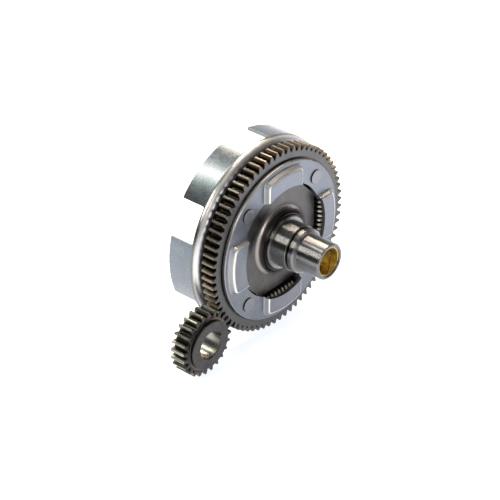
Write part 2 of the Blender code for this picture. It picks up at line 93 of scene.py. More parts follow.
# Hub sleeve, from its front end back
SLEEVE_FRONT = 42.0 * MM
OUTER_JOURNAL_RADIUS = 12.45 * MM
LAND_FRONT = 23.6 * MM
LAND_RADIUS = 15.2 * MM
LAND_CHAMFER = 1.2 * MM
LAND_ROOT = 0.6 * MM
LAND_BACK = 19.4 * MM
GROOVE_RADIUS = 14.7 * MM
INNER_JOURNAL_FRONT = 17.7 * MM
INNER_JOURNAL_RADIUS = 15.75 * MM
COLLAR_FRONT = 6.6 * MM
COLLAR_RADIUS = 18.7 * MM
PILOT_RADIUS = 16.6 * MM
SLEEVE_BACK = -13.4 * MM
BUSH_SEAT_RADIUS = 10.35 * MM
BUSH_SEAT_RUNOUT = 0.6 * MM
SLEEVE_RELIEF_RADIUS = 11.0 * MM

# Wrapped bushes
BUSH_OUTER_RADIUS = 10.25 * MM
BUSH_INNER_RADIUS = 9.1 * MM
BUSH_LENGTH = 15.9 * MM
BUSH_RECESS = 0.7 * MM
SEAM_DEPTH = 0.6 * MM
SEAM_HALF_WIDTH = 0.45 * MM
SEAM_START = math.radians(-91.0)
SEAM_LEAD = math.radians(3.9) / MM
SEAM_SWEEP = math.radians(1.33) / MM ** 2
SEAM_REACH = 8.5 * MM

# Cover plate with sprung pockets
PLATE_BACK = -0.1 * MM
PLATE_FRONT = 2.4 * MM
PLATE_OUTER_RADIUS = 55.5 * MM
PLATE_OPENING_RADIUS = 39.5 * MM
POCKET_CEILING = 3.6 * MM
POCKET_TOP = 6.1 * MM
POCKET_OUTER_RADIUS = 52.7 * MM
POCKET_HALF_WIDTH = 17.8 * MM
POCKET_SIDE_DRAFT = 1.5 * MM
POCKET_END_SLOPE = 1.5
POCKET_CORNER = 4.4 * MM
POCKET_INNER_RADIUS = 33.5 * MM
POCKET_ROOT_FILLET = 1.3 * MM
POCKET_TOP_FILLET = 1.7 * MM
POCKET_LIFT = 0.004 * MM  # keeps the pockets' faces apart from the plate's

# Damper springs
SPRING_COUNT = 4
SPRING_ORBIT = 43.8 * MM
SPRING_PLANE = -2.2 * MM
SPRING_LENGTH = 30.4 * MM
SPRING_OUTER_RADIUS = 5.3 * MM
SPRING_WIRE_RADIUS = 0.95 * MM
SPRING_TURNS = 9.0
SPRING_CLOSED_TURNS = 0.75
WINDOW_HALF_LENGTH = SPRING_LENGTH / 2 + 0.3 * MM
WEB_WINDOW_INNER = 36.2 * MM
WEB_WINDOW_OUTER = 50.4 * MM

# Rivets and their distance sleeves
RIVET_COUNT = 4
RIVET_ORBIT = 47.0 * MM
RIVET_SHANK_RADIUS = 2.7 * MM
RIVET_HEAD_RADIUS = 4.8 * MM
RIVET_TAIL_RADIUS = 4.2 * MM
RIVET_HEAD_THICKNESS = 0.85 * MM
RIVET_TAIL_THICKNESS = 1.4 * MM
RIVET_DIRECTION = math.pi / 4
SPACER_RADIUS = 4.2 * MM
WEB_HOLE_RADIUS = 8.5 * MM
WEB_HOLE_STRETCH = 5.0 * MM
WEB_EDGE = 0.4 * MM
GAP = 0.3 * MM

# Clutch basket
BASKET_SHEET = 2.2 * MM
BASKET_RADIUS = 66.5 * MM
BASKET_CORNER = 6.0 * MM
BASKET_SHOULDER = -12.3 * MM
BASKET_FLOOR_FRONT = -5.9 * MM
BASKET_FLOOR_BACK = BASKET_FLOOR_FRONT - BASKET_SHEET
BASKET_RAMP_TOP = 54.6 * MM
BASKET_RAMP_FOOT = 55.6 * MM
BASKET_BORE_RADIUS = PILOT_RADIUS + GAP
BASKET_SEAT_INNER = 39.6 * MM
BASKET_SEAT_OUTER = 48.0 * MM
BASKET_SEAT_SKIN = 0.3 * MM
TAB_COUNT = 6
TAB_END = -35.5 * MM
TAB_DIRECTION = math.radians(63.0)
TAB_GAP_ANGLE = math.radians(22.0)
TAB_GAP_BOTTOM = -17.3 * MM
TAB_GAP_INNER_RADIUS = 58.5 * MM
TAB_GAP_OUTER_RADIUS = 70.5 * MM

# Pinion blank
PINION_FRONT = 1.5 * MM
PINION_BORE_RADIUS = 9.2 * MM
PINION_MOUTH_CHAMFER = 0.7 * MM
PINION_HUB_RADIUS = 17.0 * MM
PINION_HUB_HEIGHT = 2.6 * MM
KEYWAY_WIDTH = 3.6 * MM
KEYWAY_DEPTH = 1.6 * MM
KEYWAY_DIRECTION = math.radians(28.0)
KEYWAY_EDGE = 0.25 * MM

# Mesh fineness
TURNED_SEGMENTS = 192
PLATE_SEGMENTS = 240
BASKET_SEGMENTS = 288
HOLE_SEGMENTS = 48
SHARP_ANGLE = math.radians(32)
FACE_AREA_WEIGHT = 80
OVERRUN = 1.0 * MM
ROUNDING_SHARE = 0.48  # of a side, the most that one rounded corner takes

# Floor: it glows softly, and brighter round a spot in front of the set and to its right
FLOOR_DROP = 3 * MM
FLOOR_REACH = 6.0
FLOOR_DARK = (0.44, 0.460, 0.495)
FLOOR_LIGHT = (0.46, 0.480, 0.515)
FLOOR_ROUGHNESS = 0.8
FLOOR_GLOW = 1.8
FLOOR_GLOW_PEAK = 7.2
FLOOR_GLOW_CENTRE = (0.145, -0.155)
FLOOR_GLOW_RADIUS = 0.11

# Camera: where it looks from and the point that it looks at
CAMERA_AZIMUTH = math.radians(-48.9)
CAMERA_ELEVATION = math.radians(32.33)
CAMERA_DISTANCE = 1.2
CAMERA_TARGET = Vector((-0.01531, 0.01179, -0.00597))
CAMERA_LENS_MM = 133.4
CAMERA_SENSOR_MM = 36.0


# ---------------------------------------------------------------- mesh tools

def on_circle(radius, angle, height=0.0):
    return Vector((radius * math.cos(angle), radius * math.sin(angle), height))


def rounded(corners, closed=True, steps=4):
    """A (radius, height) outline whose corners (radius, height, rounding) are turned into arcs."""
    points = []
    count = len(corners)
    for i, corner in enumerate(corners):
        here = Vector(corner[:2])
        rounding = corner[2] if len(corner) > 2 else 0.0
        at_end = not closed and i in (0, count - 1)
        if rounding == 0.0 or at_end:
            points.append(here)
            continue
        before = Vector(corners[i - 1][:2]) - here
        after = Vector(corners[(i + 1) % count][:2]) - here
        half = before.angle(after) / 2
        room = ROUNDING_SHARE * min(before.length, after.length)
        reach = min(rounding / math.tan(half), room)
        radius = reach * math.tan(half)
        middle = before.normalized() + after.normalized()
        centre = here + middle.normalized() * (radius / math.sin(half))
        start = here + before.normalized() * reach - centre
        end = here + after.normalized() * reach - centre
        angle = math.atan2(start.y, start.x)
        sweep = math.remainder(math.atan2(end.y, end.x) - angle, math.tau)
        for step in range(steps + 1):
            points.append(centre + on_circle(radius, angle + sweep * step / steps).to_2d())
    return [(p.x, p.y) for p in points]


def ring(bm, radius, height, segments):
    if radius < 1e-9:
        return [bm.verts.new((0.0, 0.0, height))]
    return [bm.verts.new(on_circle(radius, math.tau * i / segments, height)) for i in range(segments)]


def bridge(bm, first, second):
    """Faces between two rings of the same count, or from a ring to a single vertex."""
    count = max(len(first), len(second))
    for i in range(count):
        j = (i + 1) % count
        near = [first[i % len(first)], first[j % len(first)]]
        far = [second[j % len(second)], second[i % len(second)]]
        bm.faces.new(list(dict.fromkeys(near + far)))


def turned(profile, segments=TURNED_SEGMENTS):
    """A closed outline of (radius, height) points, turned about Z."""
    bm = bmesh.new()
    rings = [ring(bm, radius, height, segments) for radius, height in profile]
    pairs = list(zip(rings, rings[1:]))
    if len(rings[0]) > 1 or len(rings[-1]) > 1:
        pairs.append((rings[-1], rings[0]))
    for first, second in pairs:
        bridge(bm, first, second)
    return bm


def loft(bm, loops):
    """A closed solid through outlines of the same point count."""
    made = [[bm.verts.new(p) for p in loop] for loop in loops]
    for first, second in zip(made, made[1:]):
        bridge(bm, first, second)
    bm.faces.new(list(reversed(made[0])))
    bm.faces.new(made[-1])


def repeated(loops, count, start=0.0):
    """Copies of one lofted solid, evenly spaced about Z."""
    bm = bmesh.new()
    for i in range(count):
        turn = Matrix.Rotation(start + math.tau * i / count, 3, "Z")
        loft(bm, [[turn @ p for p in loop] for loop in loops])
    return bm


def rounded_rectangle(x_low, x_high, half_width, corner, height):
    steps = 5
    points = []
    corners = [(x_low, -half_width, math.pi), (x_high, -half_width, 1.5 * math.pi),
               (x_high, half_width, 0.0), (x_low, half_width, 0.5 * math.pi)]
    for x, y, start in corners:
        centre = Vector((x - math.copysign(corner, x - (x_low + x_high) / 2),
                         y - math.copysign(corner, y), height))
        for step in range(steps + 1):
            points.append(centre + on_circle(corner, start + math.pi / 2 * step / steps))
    return points


def disc(centre_radius, radius, height, segments=HOLE_SEGMENTS):
    centre = Vector((centre_radius, 0.0, height))
    return [centre + on_circle(radius, math.tau * i / segments) for i in range(segments)]


def slot(centre_radius, radius, stretch, height):
    """A round-ended hole, drawn out both ways round the axis."""
    steps = HOLE_SEGMENTS // 2
    points = []
    for side, start in ((1, 0.0), (-1, math.pi)):
        centre = Vector((centre_radius, side * stretch, height))
        points += [centre + on_circle(radius, start + math.pi * i / steps) for i in range(steps + 1)]
    return points


def make_object(name, bm):
    bmesh.ops.recalc_face_normals(bm, faces=bm.faces)
    mesh = bpy.data.meshes.new(name)
    bm.to_mesh(mesh)
    bm.free()
    obj = bpy.data.objects.new(name, mesh)
    bpy.context.scene.collection.objects.link(obj)
    return obj


def bake_modifiers(obj):
    bpy.context.view_layer.update()
    shown = obj.evaluated_get(bpy.context.evaluated_depsgraph_get())
    mesh = bpy.data.meshes.new_from_object(shown)
    obj.modifiers.clear()
    obj.data = mesh


def combine(obj, bm, operation="DIFFERENCE"):
    """Boolean a tool solid into the object at once, and remove the tool."""
    tool = make_object("tool", bm)
    modifier = obj.modifiers.new("cut", "BOOLEAN")
    modifier.operation = operation
    modifier.solver = "EXACT"
    modifier.object = tool
    bake_modifiers(obj)
    bpy.data.objects.remove(tool, do_unlink=True)


def pierce(obj, outline, low, high, edge, count, start=0.0):
    """Cut evenly spaced holes through a sheet from low to high, with both edges of each broken."""
    levels = [(low - OVERRUN, edge + OVERRUN), (low, edge), (low + edge, 0.0),
              (high - edge, 0.0), (high, edge), (high + OVERRUN, edge + OVERRUN)]
    combine(obj, repeated([outline(grow, height) for height, grow in levels], count, start))


def break_edges(obj, width, angle):
    """Round the object's remaining crisp edges."""
    modifier = obj.modifiers.new("edges", "BEVEL")
    modifier.limit_method = "ANGLE"
    modifier.angle_limit = angle
    modifier.width = width
    modifier.segments = 2
    modifier.use_clamp_overlap = True
    modifier.miter_outer = "MITER_ARC"
    bake_modifiers(obj)


def place(obj, material, body, nodes, location=(0.0, 0.0, 0.0), turn=0.0):
    """Shade a finished piece, put its local +Z on world -Y, and let it ride on its body."""
    mesh = obj.data
    mesh.materials.clear()
    mesh.materials.append(material)
    mesh.shade_smooth()
    mesh.set_sharp_from_angle(angle=SHARP_ANGLE)
    modifier = obj.modifiers.new("normals", "WEIGHTED_NORMAL")
    modifier.keep_sharp = True
    modifier.weight = FACE_AREA_WEIGHT
    to_world = Matrix.Rotation(math.pi / 2, 4, "X") @ Matrix.Rotation(turn, 4, "Z")
    obj.matrix_world = Matrix.Translation(location) @ to_world
    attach(obj, body)
    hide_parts(*nodes)
    return obj


# ---------------------------------------------------------------- gears

def involute(angle):
    return math.tan(angle) - angle


def tooth_outline(teeth, phase, fillet):
    """Spur gear outline with root fillets, involute flanks and rounded tip corners."""
    pitch_radius = MODULE * teeth / 2
    base_radius = pitch_radius * math.cos(PRESSURE_ANGLE)
    root_radius = pitch_radius - DEDENDUM
    tip_radius = pitch_radius + ADDENDUM
    half_tooth = math.pi / (2 * teeth) - BACKLASH / (4 * pitch_radius)

    def half_angle(radius):
        reach = math.acos(min(1.0, base_radius / radius))
        return half_tooth + involute(PRESSURE_ANGLE) - involute(reach)

    side = []
    fillet_steps, flank_steps = 3, 5
    for step in range(fillet_steps + 1):
        swing = math.pi / 2 * step / fillet_steps
        radius = root_radius + fillet * (1 - math.cos(swing))
        side.append((radius, half_angle(radius) + fillet * (1 - math.sin(swing)) / radius))
    flank_top = tip_radius - TIP_ROUNDING
    for step in range(1, flank_steps + 1):
        radius = root_radius + fillet + (flank_top - root_radius - fillet) * step / flank_steps
        side.append((radius, half_angle(radius)))
    corner = TIP_ROUNDING / tip_radius
    side.append((tip_radius - 0.3 * TIP_ROUNDING, half_angle(tip_radius) - 0.3 * corner))
    side.append((tip_radius, half_angle(tip_radius) - corner))

    outline = []
    for tooth in range(teeth):
        centre = phase + math.tau * tooth / teeth
        outline += [on_circle(radius, centre - angle) for radius, angle in side]
        outline += [on_circle(radius, centre + angle) for radius, angle in reversed(side)]
    return outline


def inset(outline, distance):
    """The outline moved inwards, which breaks the edges of the teeth's end faces."""
    count = len(outline)
    moved = []
    for i, point in enumerate(outline):
        along = (outline[(i + 1) % count] - outline[i - 1]).normalized()
        moved.append(point - Vector((along.y, -along.x, 0.0)) * distance)
    return moved


def toothed_body(outline, front, back, profile):
    """A toothed rim with broken end edges, whose end faces run in to a turned profile."""
    edge = TOOTH_END_CHAMFER
    bm = bmesh.new()
    levels = [(front, inset(outline, edge)), (front - edge, outline),
              (back + edge, outline), (back, inset(outline, edge))]
    loops = [[bm.verts.new((p.x, p.y, height)) for p in loop] for height, loop in levels]
    for first, second in zip(loops, loops[1:]):
        bridge(bm, first, second)
    rings = [ring(bm, radius, height, TURNED_SEGMENTS) for radius, height in profile]
    for first, second in zip(rings, rings[1:]):
        bridge(bm, first, second)
    for outer, inner, side in ((loops[0], rings[0], 1.0), (loops[-1], rings[-1], -1.0)):
        edges = [bm.edges.get((loop[i - 1], loop[i])) for loop in (outer, inner) for i in range(len(loop))]
        bmesh.ops.triangle_fill(bm, use_beauty=True, edges=edges, normal=(0.0, 0.0, side))
    return bm


def boss_curve():
    """The web's front face swept up into the boss along a quarter ellipse."""
    steps = 12
    centre = (BOSS_RADIUS + BOSS_FILLET_WIDTH, BOSS_HEIGHT)
    points = []
    for step in range(steps + 1):
        swing = math.pi / 2 * step / steps
        points.append((centre[0] - BOSS_FILLET_WIDTH * math.sin(swing),
                       centre[1] - (BOSS_HEIGHT - WEB_FRONT) * math.cos(swing)))
    return points


def make_driven_gear(material):
    bore = COLLAR_RADIUS + GAP
    root_radius = MODULE * GEAR_TEETH / 2 - DEDENDUM
    rim_step = [(root_radius - FACE_MARGIN, 0.0), (RIM_INNER_RADIUS, 0.0, 0.2 * MM),
                (RIM_INNER_RADIUS, WEB_FRONT, 0.2 * MM), (RIM_INNER_RADIUS - 1 * MM, WEB_FRONT)]
    profile = rounded(rim_step, closed=False, steps=2)
    profile += boss_curve()
    back = [(BOSS_RADIUS, BOSS_HEIGHT - 0.2 * MM), (BOSS_RADIUS, BOSS_HEIGHT, 0.3 * MM),
            (bore, BOSS_HEIGHT, 0.2 * MM), (bore, WEB_BACK, 0.4 * MM),
            (RIM_INNER_RADIUS - RIM_BACK_DRAFT, WEB_BACK, 1.0 * MM),
            (RIM_INNER_RADIUS + RIM_BACK_DRAFT, -GEAR_FACE_WIDTH, 0.3 * MM),
            (root_radius - FACE_MARGIN, -GEAR_FACE_WIDTH)]
    profile = profile[:-1] + rounded(back, closed=False, steps=3)[1:]
    outline = tooth_outline(GEAR_TEETH, PINION_DIRECTION, GEAR_ROOT_FILLET)
    gear = make_object("gear_finish", toothed_body(outline, 0.0, -GEAR_FACE_WIDTH, profile))

    def window(grow, height):
        return rounded_rectangle(WEB_WINDOW_INNER - grow, WEB_WINDOW_OUTER + grow,
                                 WINDOW_HALF_LENGTH + grow, 1.0 * MM + grow, height)

    def hole(grow, height):
        return slot(RIVET_ORBIT, WEB_HOLE_RADIUS + grow, WEB_HOLE_STRETCH, height)

    pierce(gear, window, WEB_BACK, WEB_FRONT, WEB_EDGE, SPRING_COUNT)
    pierce(gear, hole, WEB_BACK, WEB_FRONT, WEB_EDGE, RIVET_COUNT, RIVET_DIRECTION)
    return place(gear, material, "gear", ["driven_gear"])


def make_pinion(material):
    front, back = PINION_FRONT, PINION_FRONT - PINION_FACE_WIDTH
    hub_front = front + PINION_HUB_HEIGHT
    bore = PINION_BORE_RADIUS
    mouth = bore + PINION_MOUTH_CHAMFER
    root_radius = MODULE * PINION_TEETH / 2 - DEDENDUM
    profile = rounded([
        (root_radius - FACE_MARGIN, front),
        (PINION_HUB_RADIUS + 0.2 * MM, front, 0.2 * MM),
        (PINION_HUB_RADIUS - 0.1 * MM, front + 0.3 * MM, 0.2 * MM),
        (PINION_HUB_RADIUS - 0.1 * MM, hub_front - 0.5 * MM, 0.2 * MM),
        (PINION_HUB_RADIUS - 0.6 * MM, hub_front, 0.2 * MM),
        (mouth, hub_front, 0.15 * MM), (bore, hub_front - PINION_MOUTH_CHAMFER, 0.15 * MM),
        (bore, back + PINION_MOUTH_CHAMFER, 0.15 * MM), (mouth, back, 0.15 * MM),
        (root_radius - FACE_MARGIN, back)], closed=False, steps=3)
    half_pitch = math.pi / PINION_TEETH
    phase = PINION_DIRECTION + math.pi + half_pitch
    outline = tooth_outline(PINION_TEETH, phase, PINION_ROOT_FILLET)
    pinion = make_object("pinion_finish", toothed_body(outline, front, back, profile))

    def keyway(grow, height):
        return rounded_rectangle(bore - 2 * OVERRUN, bore + KEYWAY_DEPTH + grow,
                                 KEYWAY_WIDTH / 2 + grow, 0.3 * MM + grow / 2, height)

    pierce(pinion, keyway, back, hub_front, KEYWAY_EDGE, 1, KEYWAY_DIRECTION)
    spin = next(joint for joint in frame["joints"] if joint["name"] == "pinion_spin")
    return place(pinion, material, "pinion", ["pinion"], spin["pos_m"])


# ---------------------------------------------------------------- sleeve and bushes

def make_hub_sleeve(material):
    soft, crisp = 0.35 * MM, 0.15 * MM
    end_chamfer, mouth_chamfer, collar_chamfer = 0.6 * MM, 0.35 * MM, 0.8 * MM
    undercut, relief_slope = 0.35 * MM, 0.5 * MM
    seat = BUSH_RECESS + BUSH_LENGTH + BUSH_SEAT_RUNOUT
    profile = rounded([
        (BUSH_SEAT_RADIUS + mouth_chamfer, SLEEVE_FRONT, crisp),
        (OUTER_JOURNAL_RADIUS - end_chamfer, SLEEVE_FRONT, crisp),
        (OUTER_JOURNAL_RADIUS, SLEEVE_FRONT - end_chamfer, soft),
        (OUTER_JOURNAL_RADIUS, LAND_FRONT + LAND_ROOT, soft),
        (LAND_RADIUS - LAND_CHAMFER, LAND_FRONT, soft),
        (LAND_RADIUS, LAND_FRONT - LAND_CHAMFER, soft),
        (LAND_RADIUS, LAND_BACK, crisp),
        (GROOVE_RADIUS, LAND_BACK, crisp),
        (GROOVE_RADIUS, INNER_JOURNAL_FRONT, crisp),
        (INNER_JOURNAL_RADIUS - 0.3 * MM, INNER_JOURNAL_FRONT, crisp),
        (INNER_JOURNAL_RADIUS, INNER_JOURNAL_FRONT - 0.3 * MM, crisp),
        (INNER_JOURNAL_RADIUS, COLLAR_FRONT + 1.4 * MM, crisp),
        (INNER_JOURNAL_RADIUS - undercut, COLLAR_FRONT + 1.1 * MM, crisp),
        (INNER_JOURNAL_RADIUS - undercut, COLLAR_FRONT + 0.1 * MM, crisp),
        (INNER_JOURNAL_RADIUS + 0.2 * MM, COLLAR_FRONT, crisp),
        (COLLAR_RADIUS - collar_chamfer, COLLAR_FRONT, soft),
        (COLLAR_RADIUS, COLLAR_FRONT - collar_chamfer, soft),
        (COLLAR_RADIUS, WEB_BACK, crisp),
        (PILOT_RADIUS, WEB_BACK, crisp),
        (PILOT_RADIUS, SLEEVE_BACK + end_chamfer, soft),
        (PILOT_RADIUS - end_chamfer, SLEEVE_BACK, soft),
        (BUSH_SEAT_RADIUS + mouth_chamfer, SLEEVE_BACK, crisp),
        (BUSH_SEAT_RADIUS, SLEEVE_BACK + mouth_chamfer, crisp),
        (BUSH_SEAT_RADIUS, SLEEVE_BACK + seat, crisp),
        (SLEEVE_RELIEF_RADIUS, SLEEVE_BACK + seat + relief_slope, crisp),
        (SLEEVE_RELIEF_RADIUS, SLEEVE_FRONT - seat - relief_slope, crisp),
        (BUSH_SEAT_RADIUS, SLEEVE_FRONT - seat, crisp),
        (BUSH_SEAT_RADIUS, SLEEVE_FRONT - mouth_chamfer, crisp)], steps=3)
    sleeve = make_object("sleeve_finish", turned(profile))
    return place(sleeve, material, "gear", ["hub_sleeve"])


def make_bush(node, back, material):
    """A wrapped bush: a rolled strip whose slanting butt joint shows as a fine groove in the bore."""
    front = back + BUSH_LENGTH
    edge = 0.3 * MM
    bore_rows, columns = 72, 240
    bm = bmesh.new()
    profile = rounded([(BUSH_INNER_RADIUS + edge, front), (BUSH_OUTER_RADIUS - 0.1 * MM, front, 0.1 * MM),
                       (BUSH_OUTER_RADIUS, front - 0.5 * MM), (BUSH_OUTER_RADIUS, back + 0.5 * MM),
                       (BUSH_OUTER_RADIUS - 0.1 * MM, back, 0.1 * MM), (BUSH_INNER_RADIUS + edge, back)],
                      closed=False, steps=2)
    rings = [ring(bm, radius, height, columns) for radius, height in profile]
    for row in range(bore_rows + 1):
        height = back + edge + (front - back - 2 * edge) * row / bore_rows
        verts = []
        for column in range(columns):
            angle = math.tau * column / columns
            depth = front - height
            seam = SEAM_START + SEAM_LEAD * depth + SEAM_SWEEP * min(depth, SEAM_REACH) * depth
            across = math.remainder(angle - seam, math.tau) * BUSH_INNER_RADIUS
            dip = SEAM_DEPTH * max(0.0, 1 - (across / SEAM_HALF_WIDTH) ** 2)
            verts.append(bm.verts.new(on_circle(BUSH_INNER_RADIUS + dip, angle, height)))
        rings.append(verts)
    for first, second in zip(rings, rings[1:] + rings[:1]):
        bridge(bm, first, second)
    return place(make_object(node + "_finish", bm), material, "bushes", [node])


# ---------------------------------------------------------------- cover plate, rivets, springs

def pocket_outline(grow, height):
    """A pocket seen along the axis, larger all round by grow: its outer edge follows a circle."""
    half_width = POCKET_HALF_WIDTH + grow
    outer_radius = POCKET_OUTER_RADIUS + grow * POCKET_END_SLOPE
    corner = max(POCKET_CORNER + grow, 0.5 * MM)
    corner_x = math.sqrt((outer_radius - corner) ** 2 - (half_width - corner) ** 2)
    lean = math.atan2(half_width - corner, corner_x)
    corner_steps, arc_steps = 8, 16
    right = []
    for i in range(corner_steps + 1):
        angle = -math.pi / 2 + (math.pi / 2 - lean) * i / corner_steps
        right.append(Vector((corner_x, corner - half_width, height)) + on_circle(corner, angle))
    arc = [on_circle(outer_radius, -lean + 2 * lean * i / arc_steps, height) for i in range(1, arc_steps)]
    left = [Vector((p.x, -p.y, p.z)) for p in reversed(right)]
    inner = [Vector((POCKET_INNER_RADIUS, side * half_width, height)) for side in (-1, 1)]
    return [inner[0]] + right + arc + left + [inner[1]]


def pocket_shell():
    """The pressed pocket's outside: a flared root, drafted sides and a rounded top edge."""
    section = rounded([(4 * MM, PLATE_FRONT), (0.0, PLATE_FRONT, POCKET_ROOT_FILLET),
                       (-POCKET_SIDE_DRAFT, POCKET_TOP, POCKET_TOP_FILLET), (-8 * MM, POCKET_TOP)],
                      closed=False, steps=6)[1:-1]
    buried = [(section[0][0], PLATE_FRONT - OVERRUN)]
    return [pocket_outline(grow, height + POCKET_LIFT) for grow, height in buried + section]


def pocket_cavity():
    """The hollow under the pocket, with a rounded ceiling."""
    wall = WINDOW_HALF_LENGTH - POCKET_HALF_WIDTH
    section = rounded([(wall + 0.4 * MM, PLATE_BACK - OVERRUN), (wall, POCKET_CEILING, 1.2 * MM),
                       (wall - 5 * MM, POCKET_CEILING)], closed=False, steps=5)[:-1]
    return [pocket_outline(grow, height) for grow, height in section]


def make_cover_plate(material):
    profile = rounded([
        (PLATE_OPENING_RADIUS - OVERRUN, PLATE_BACK), (PLATE_OUTER_RADIUS, PLATE_BACK, 0.2 * MM),
        (PLATE_OUTER_RADIUS, PLATE_FRONT, 0.7 * MM), (PLATE_OPENING_RADIUS - OVERRUN, PLATE_FRONT)], steps=4)
    plate = make_object("cover_plate_finish", turned(profile, PLATE_SEGMENTS))
    combine(plate, repeated(pocket_shell(), SPRING_COUNT), "UNION")
    combine(plate, repeated(pocket_cavity(), SPRING_COUNT))
    opening = [disc(0.0, PLATE_OPENING_RADIUS, height, PLATE_SEGMENTS)
               for height in (PLATE_BACK - 2 * OVERRUN, POCKET_TOP + OVERRUN)]
    combine(plate, repeated(opening, 1))
    break_edges(plate, 0.22 * MM, math.radians(55))

    hole = [disc(RIVET_ORBIT, RIVET_SHANK_RADIUS + GAP, height)
            for height in (PLATE_BACK - OVERRUN, PLATE_FRONT + OVERRUN)]
    combine(plate, repeated(hole, RIVET_COUNT, RIVET_DIRECTION))
    return place(plate, material, "basket", ["cover_plate"])


def make_rivets_and_spacers(rivet_material, spacer_material):
    head_under = PLATE_FRONT
    head_top = head_under + RIVET_HEAD_THICKNESS
    tail_under = BASKET_FLOOR_BACK - GAP
    tail_end = tail_under - RIVET_TAIL_THICKNESS
    rivet = rounded([
        (0.0, head_top - 0.12 * MM), (1.6 * MM, head_top - 0.04 * MM), (2.4 * MM, head_top),
        (RIVET_HEAD_RADIUS, head_top, 0.18 * MM), (RIVET_HEAD_RADIUS, head_under),
        (RIVET_SHANK_RADIUS, head_under), (RIVET_SHANK_RADIUS, tail_under),
        (RIVET_TAIL_RADIUS, tail_under, 0.15 * MM),
        (RIVET_TAIL_RADIUS - 0.1 * MM, tail_under - 0.5 * MM, 0.4 * MM),
        (RIVET_TAIL_RADIUS - 1.4 * MM, tail_end, 0.8 * MM), (0.0, tail_end)], closed=False, steps=4)
    front, back = PLATE_BACK - GAP, BASKET_FLOOR_FRONT + GAP
    edge = 0.15 * MM
    spacer = rounded([
        (RIVET_SHANK_RADIUS + GAP, back, edge), (RIVET_SHANK_RADIUS + GAP, front, edge),
        (SPACER_RADIUS, front, edge), (SPACER_RADIUS, back, edge)], steps=2)
    kinds = (("rivet", rivet, rivet_material), ("spacer", spacer, spacer_material))
    for i in range(RIVET_COUNT):
        spot = on_circle(RIVET_ORBIT, RIVET_DIRECTION + math.tau * i / RIVET_COUNT)
        location = (spot.x, 0.0, spot.y)
        for kind, profile, material in kinds:
            node = f"{kind}_{i + 1}"
            obj = make_object(node + "_finish", turned(profile, HOLE_SEGMENTS))
            place(obj, material, "basket", [node], location)


def spring_height(turn):
    """How far along the spring's axis the wire is, with its end turns pressed close."""
    closed_pitch = 0.8 * 2 * SPRING_WIRE_RADIUS
    travel = SPRING_LENGTH - 2 * SPRING_WIRE_RADIUS
    open_turns = SPRING_TURNS - 2 * SPRING_CLOSED_TURNS
    open_pitch = (travel - 2 * SPRING_CLOSED_TURNS * closed_pitch) / open_turns
    height = closed_pitch * min(turn, SPRING_CLOSED_TURNS)
    height += open_pitch * min(max(turn - SPRING_CLOSED_TURNS, 0.0), open_turns)
    height += closed_pitch * max(turn - SPRING_TURNS + SPRING_CLOSED_TURNS, 0.0)
    return height - travel / 2


def make_damper_springs(material):
    coil_radius = SPRING_OUTER_RADIUS - SPRING_WIRE_RADIUS
    steps_per_turn, sides = 30, 12
    steps = round(SPRING_TURNS * steps_per_turn)
    limit = SPRING_LENGTH / 2 - 0.02 * MM
    for number in range(SPRING_COUNT):
        bm = bmesh.new()
        sections = []
        for i in range(steps + 1):
            angle = math.tau * i / steps_per_turn
            outward = Vector((math.cos(angle), 0.0, math.sin(angle)))
            centre = outward * coil_radius + Vector((0.0, spring_height(i / steps_per_turn), 0.0))
            section = []
            for side in range(sides):
                swing = math.tau * side / sides
                offset = outward * math.cos(swing) + Vector((0.0, math.sin(swing), 0.0))
                point = centre + offset * SPRING_WIRE_RADIUS
                point.y = max(-limit, min(limit, point.y))
                section.append(bm.verts.new(point))
            sections.append(section)
        for first, second in zip(sections, sections[1:]):
            bridge(bm, first, second)
        bm.faces.new(sections[0])
        bm.faces.new(sections[-1])
        bmesh.ops.translate(bm, vec=(SPRING_ORBIT, 0.0, SPRING_PLANE), verts=bm.verts)
        turn = math.tau * number / SPRING_COUNT
        node = f"damper_spring_{number + 1}"
        spring = make_object(node + "_finish", bm)
        place(spring, material, "springs", [node], turn=turn)
        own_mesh(spring)


# ---------------------------------------------------------------- clutch basket

def tab_gap_loops():
    """A gap between two tabs: a slot with rounded bottom corners, cut through the wall along X."""
    half = (BASKET_RADIUS - BASKET_SHEET / 2) * math.tan(TAB_GAP_ANGLE / 2)
    corner, steps = 1.5 * MM, 6
    low = TAB_END - OVERRUN
    outline = [(-half, low), (half, low)]
    for side in (1, -1):
        for step in range(steps + 1):
            swing = math.pi / 2 * (step if side > 0 else steps - step) / steps
            outline.append((side * (half - corner + corner * math.cos(swing)),
                            TAB_GAP_BOTTOM - corner + corner * math.sin(swing)))
    return [[Vector((x, y, z)) for y, z in outline] for x in (TAB_GAP_INNER_RADIUS, TAB_GAP_OUTER_RADIUS)]


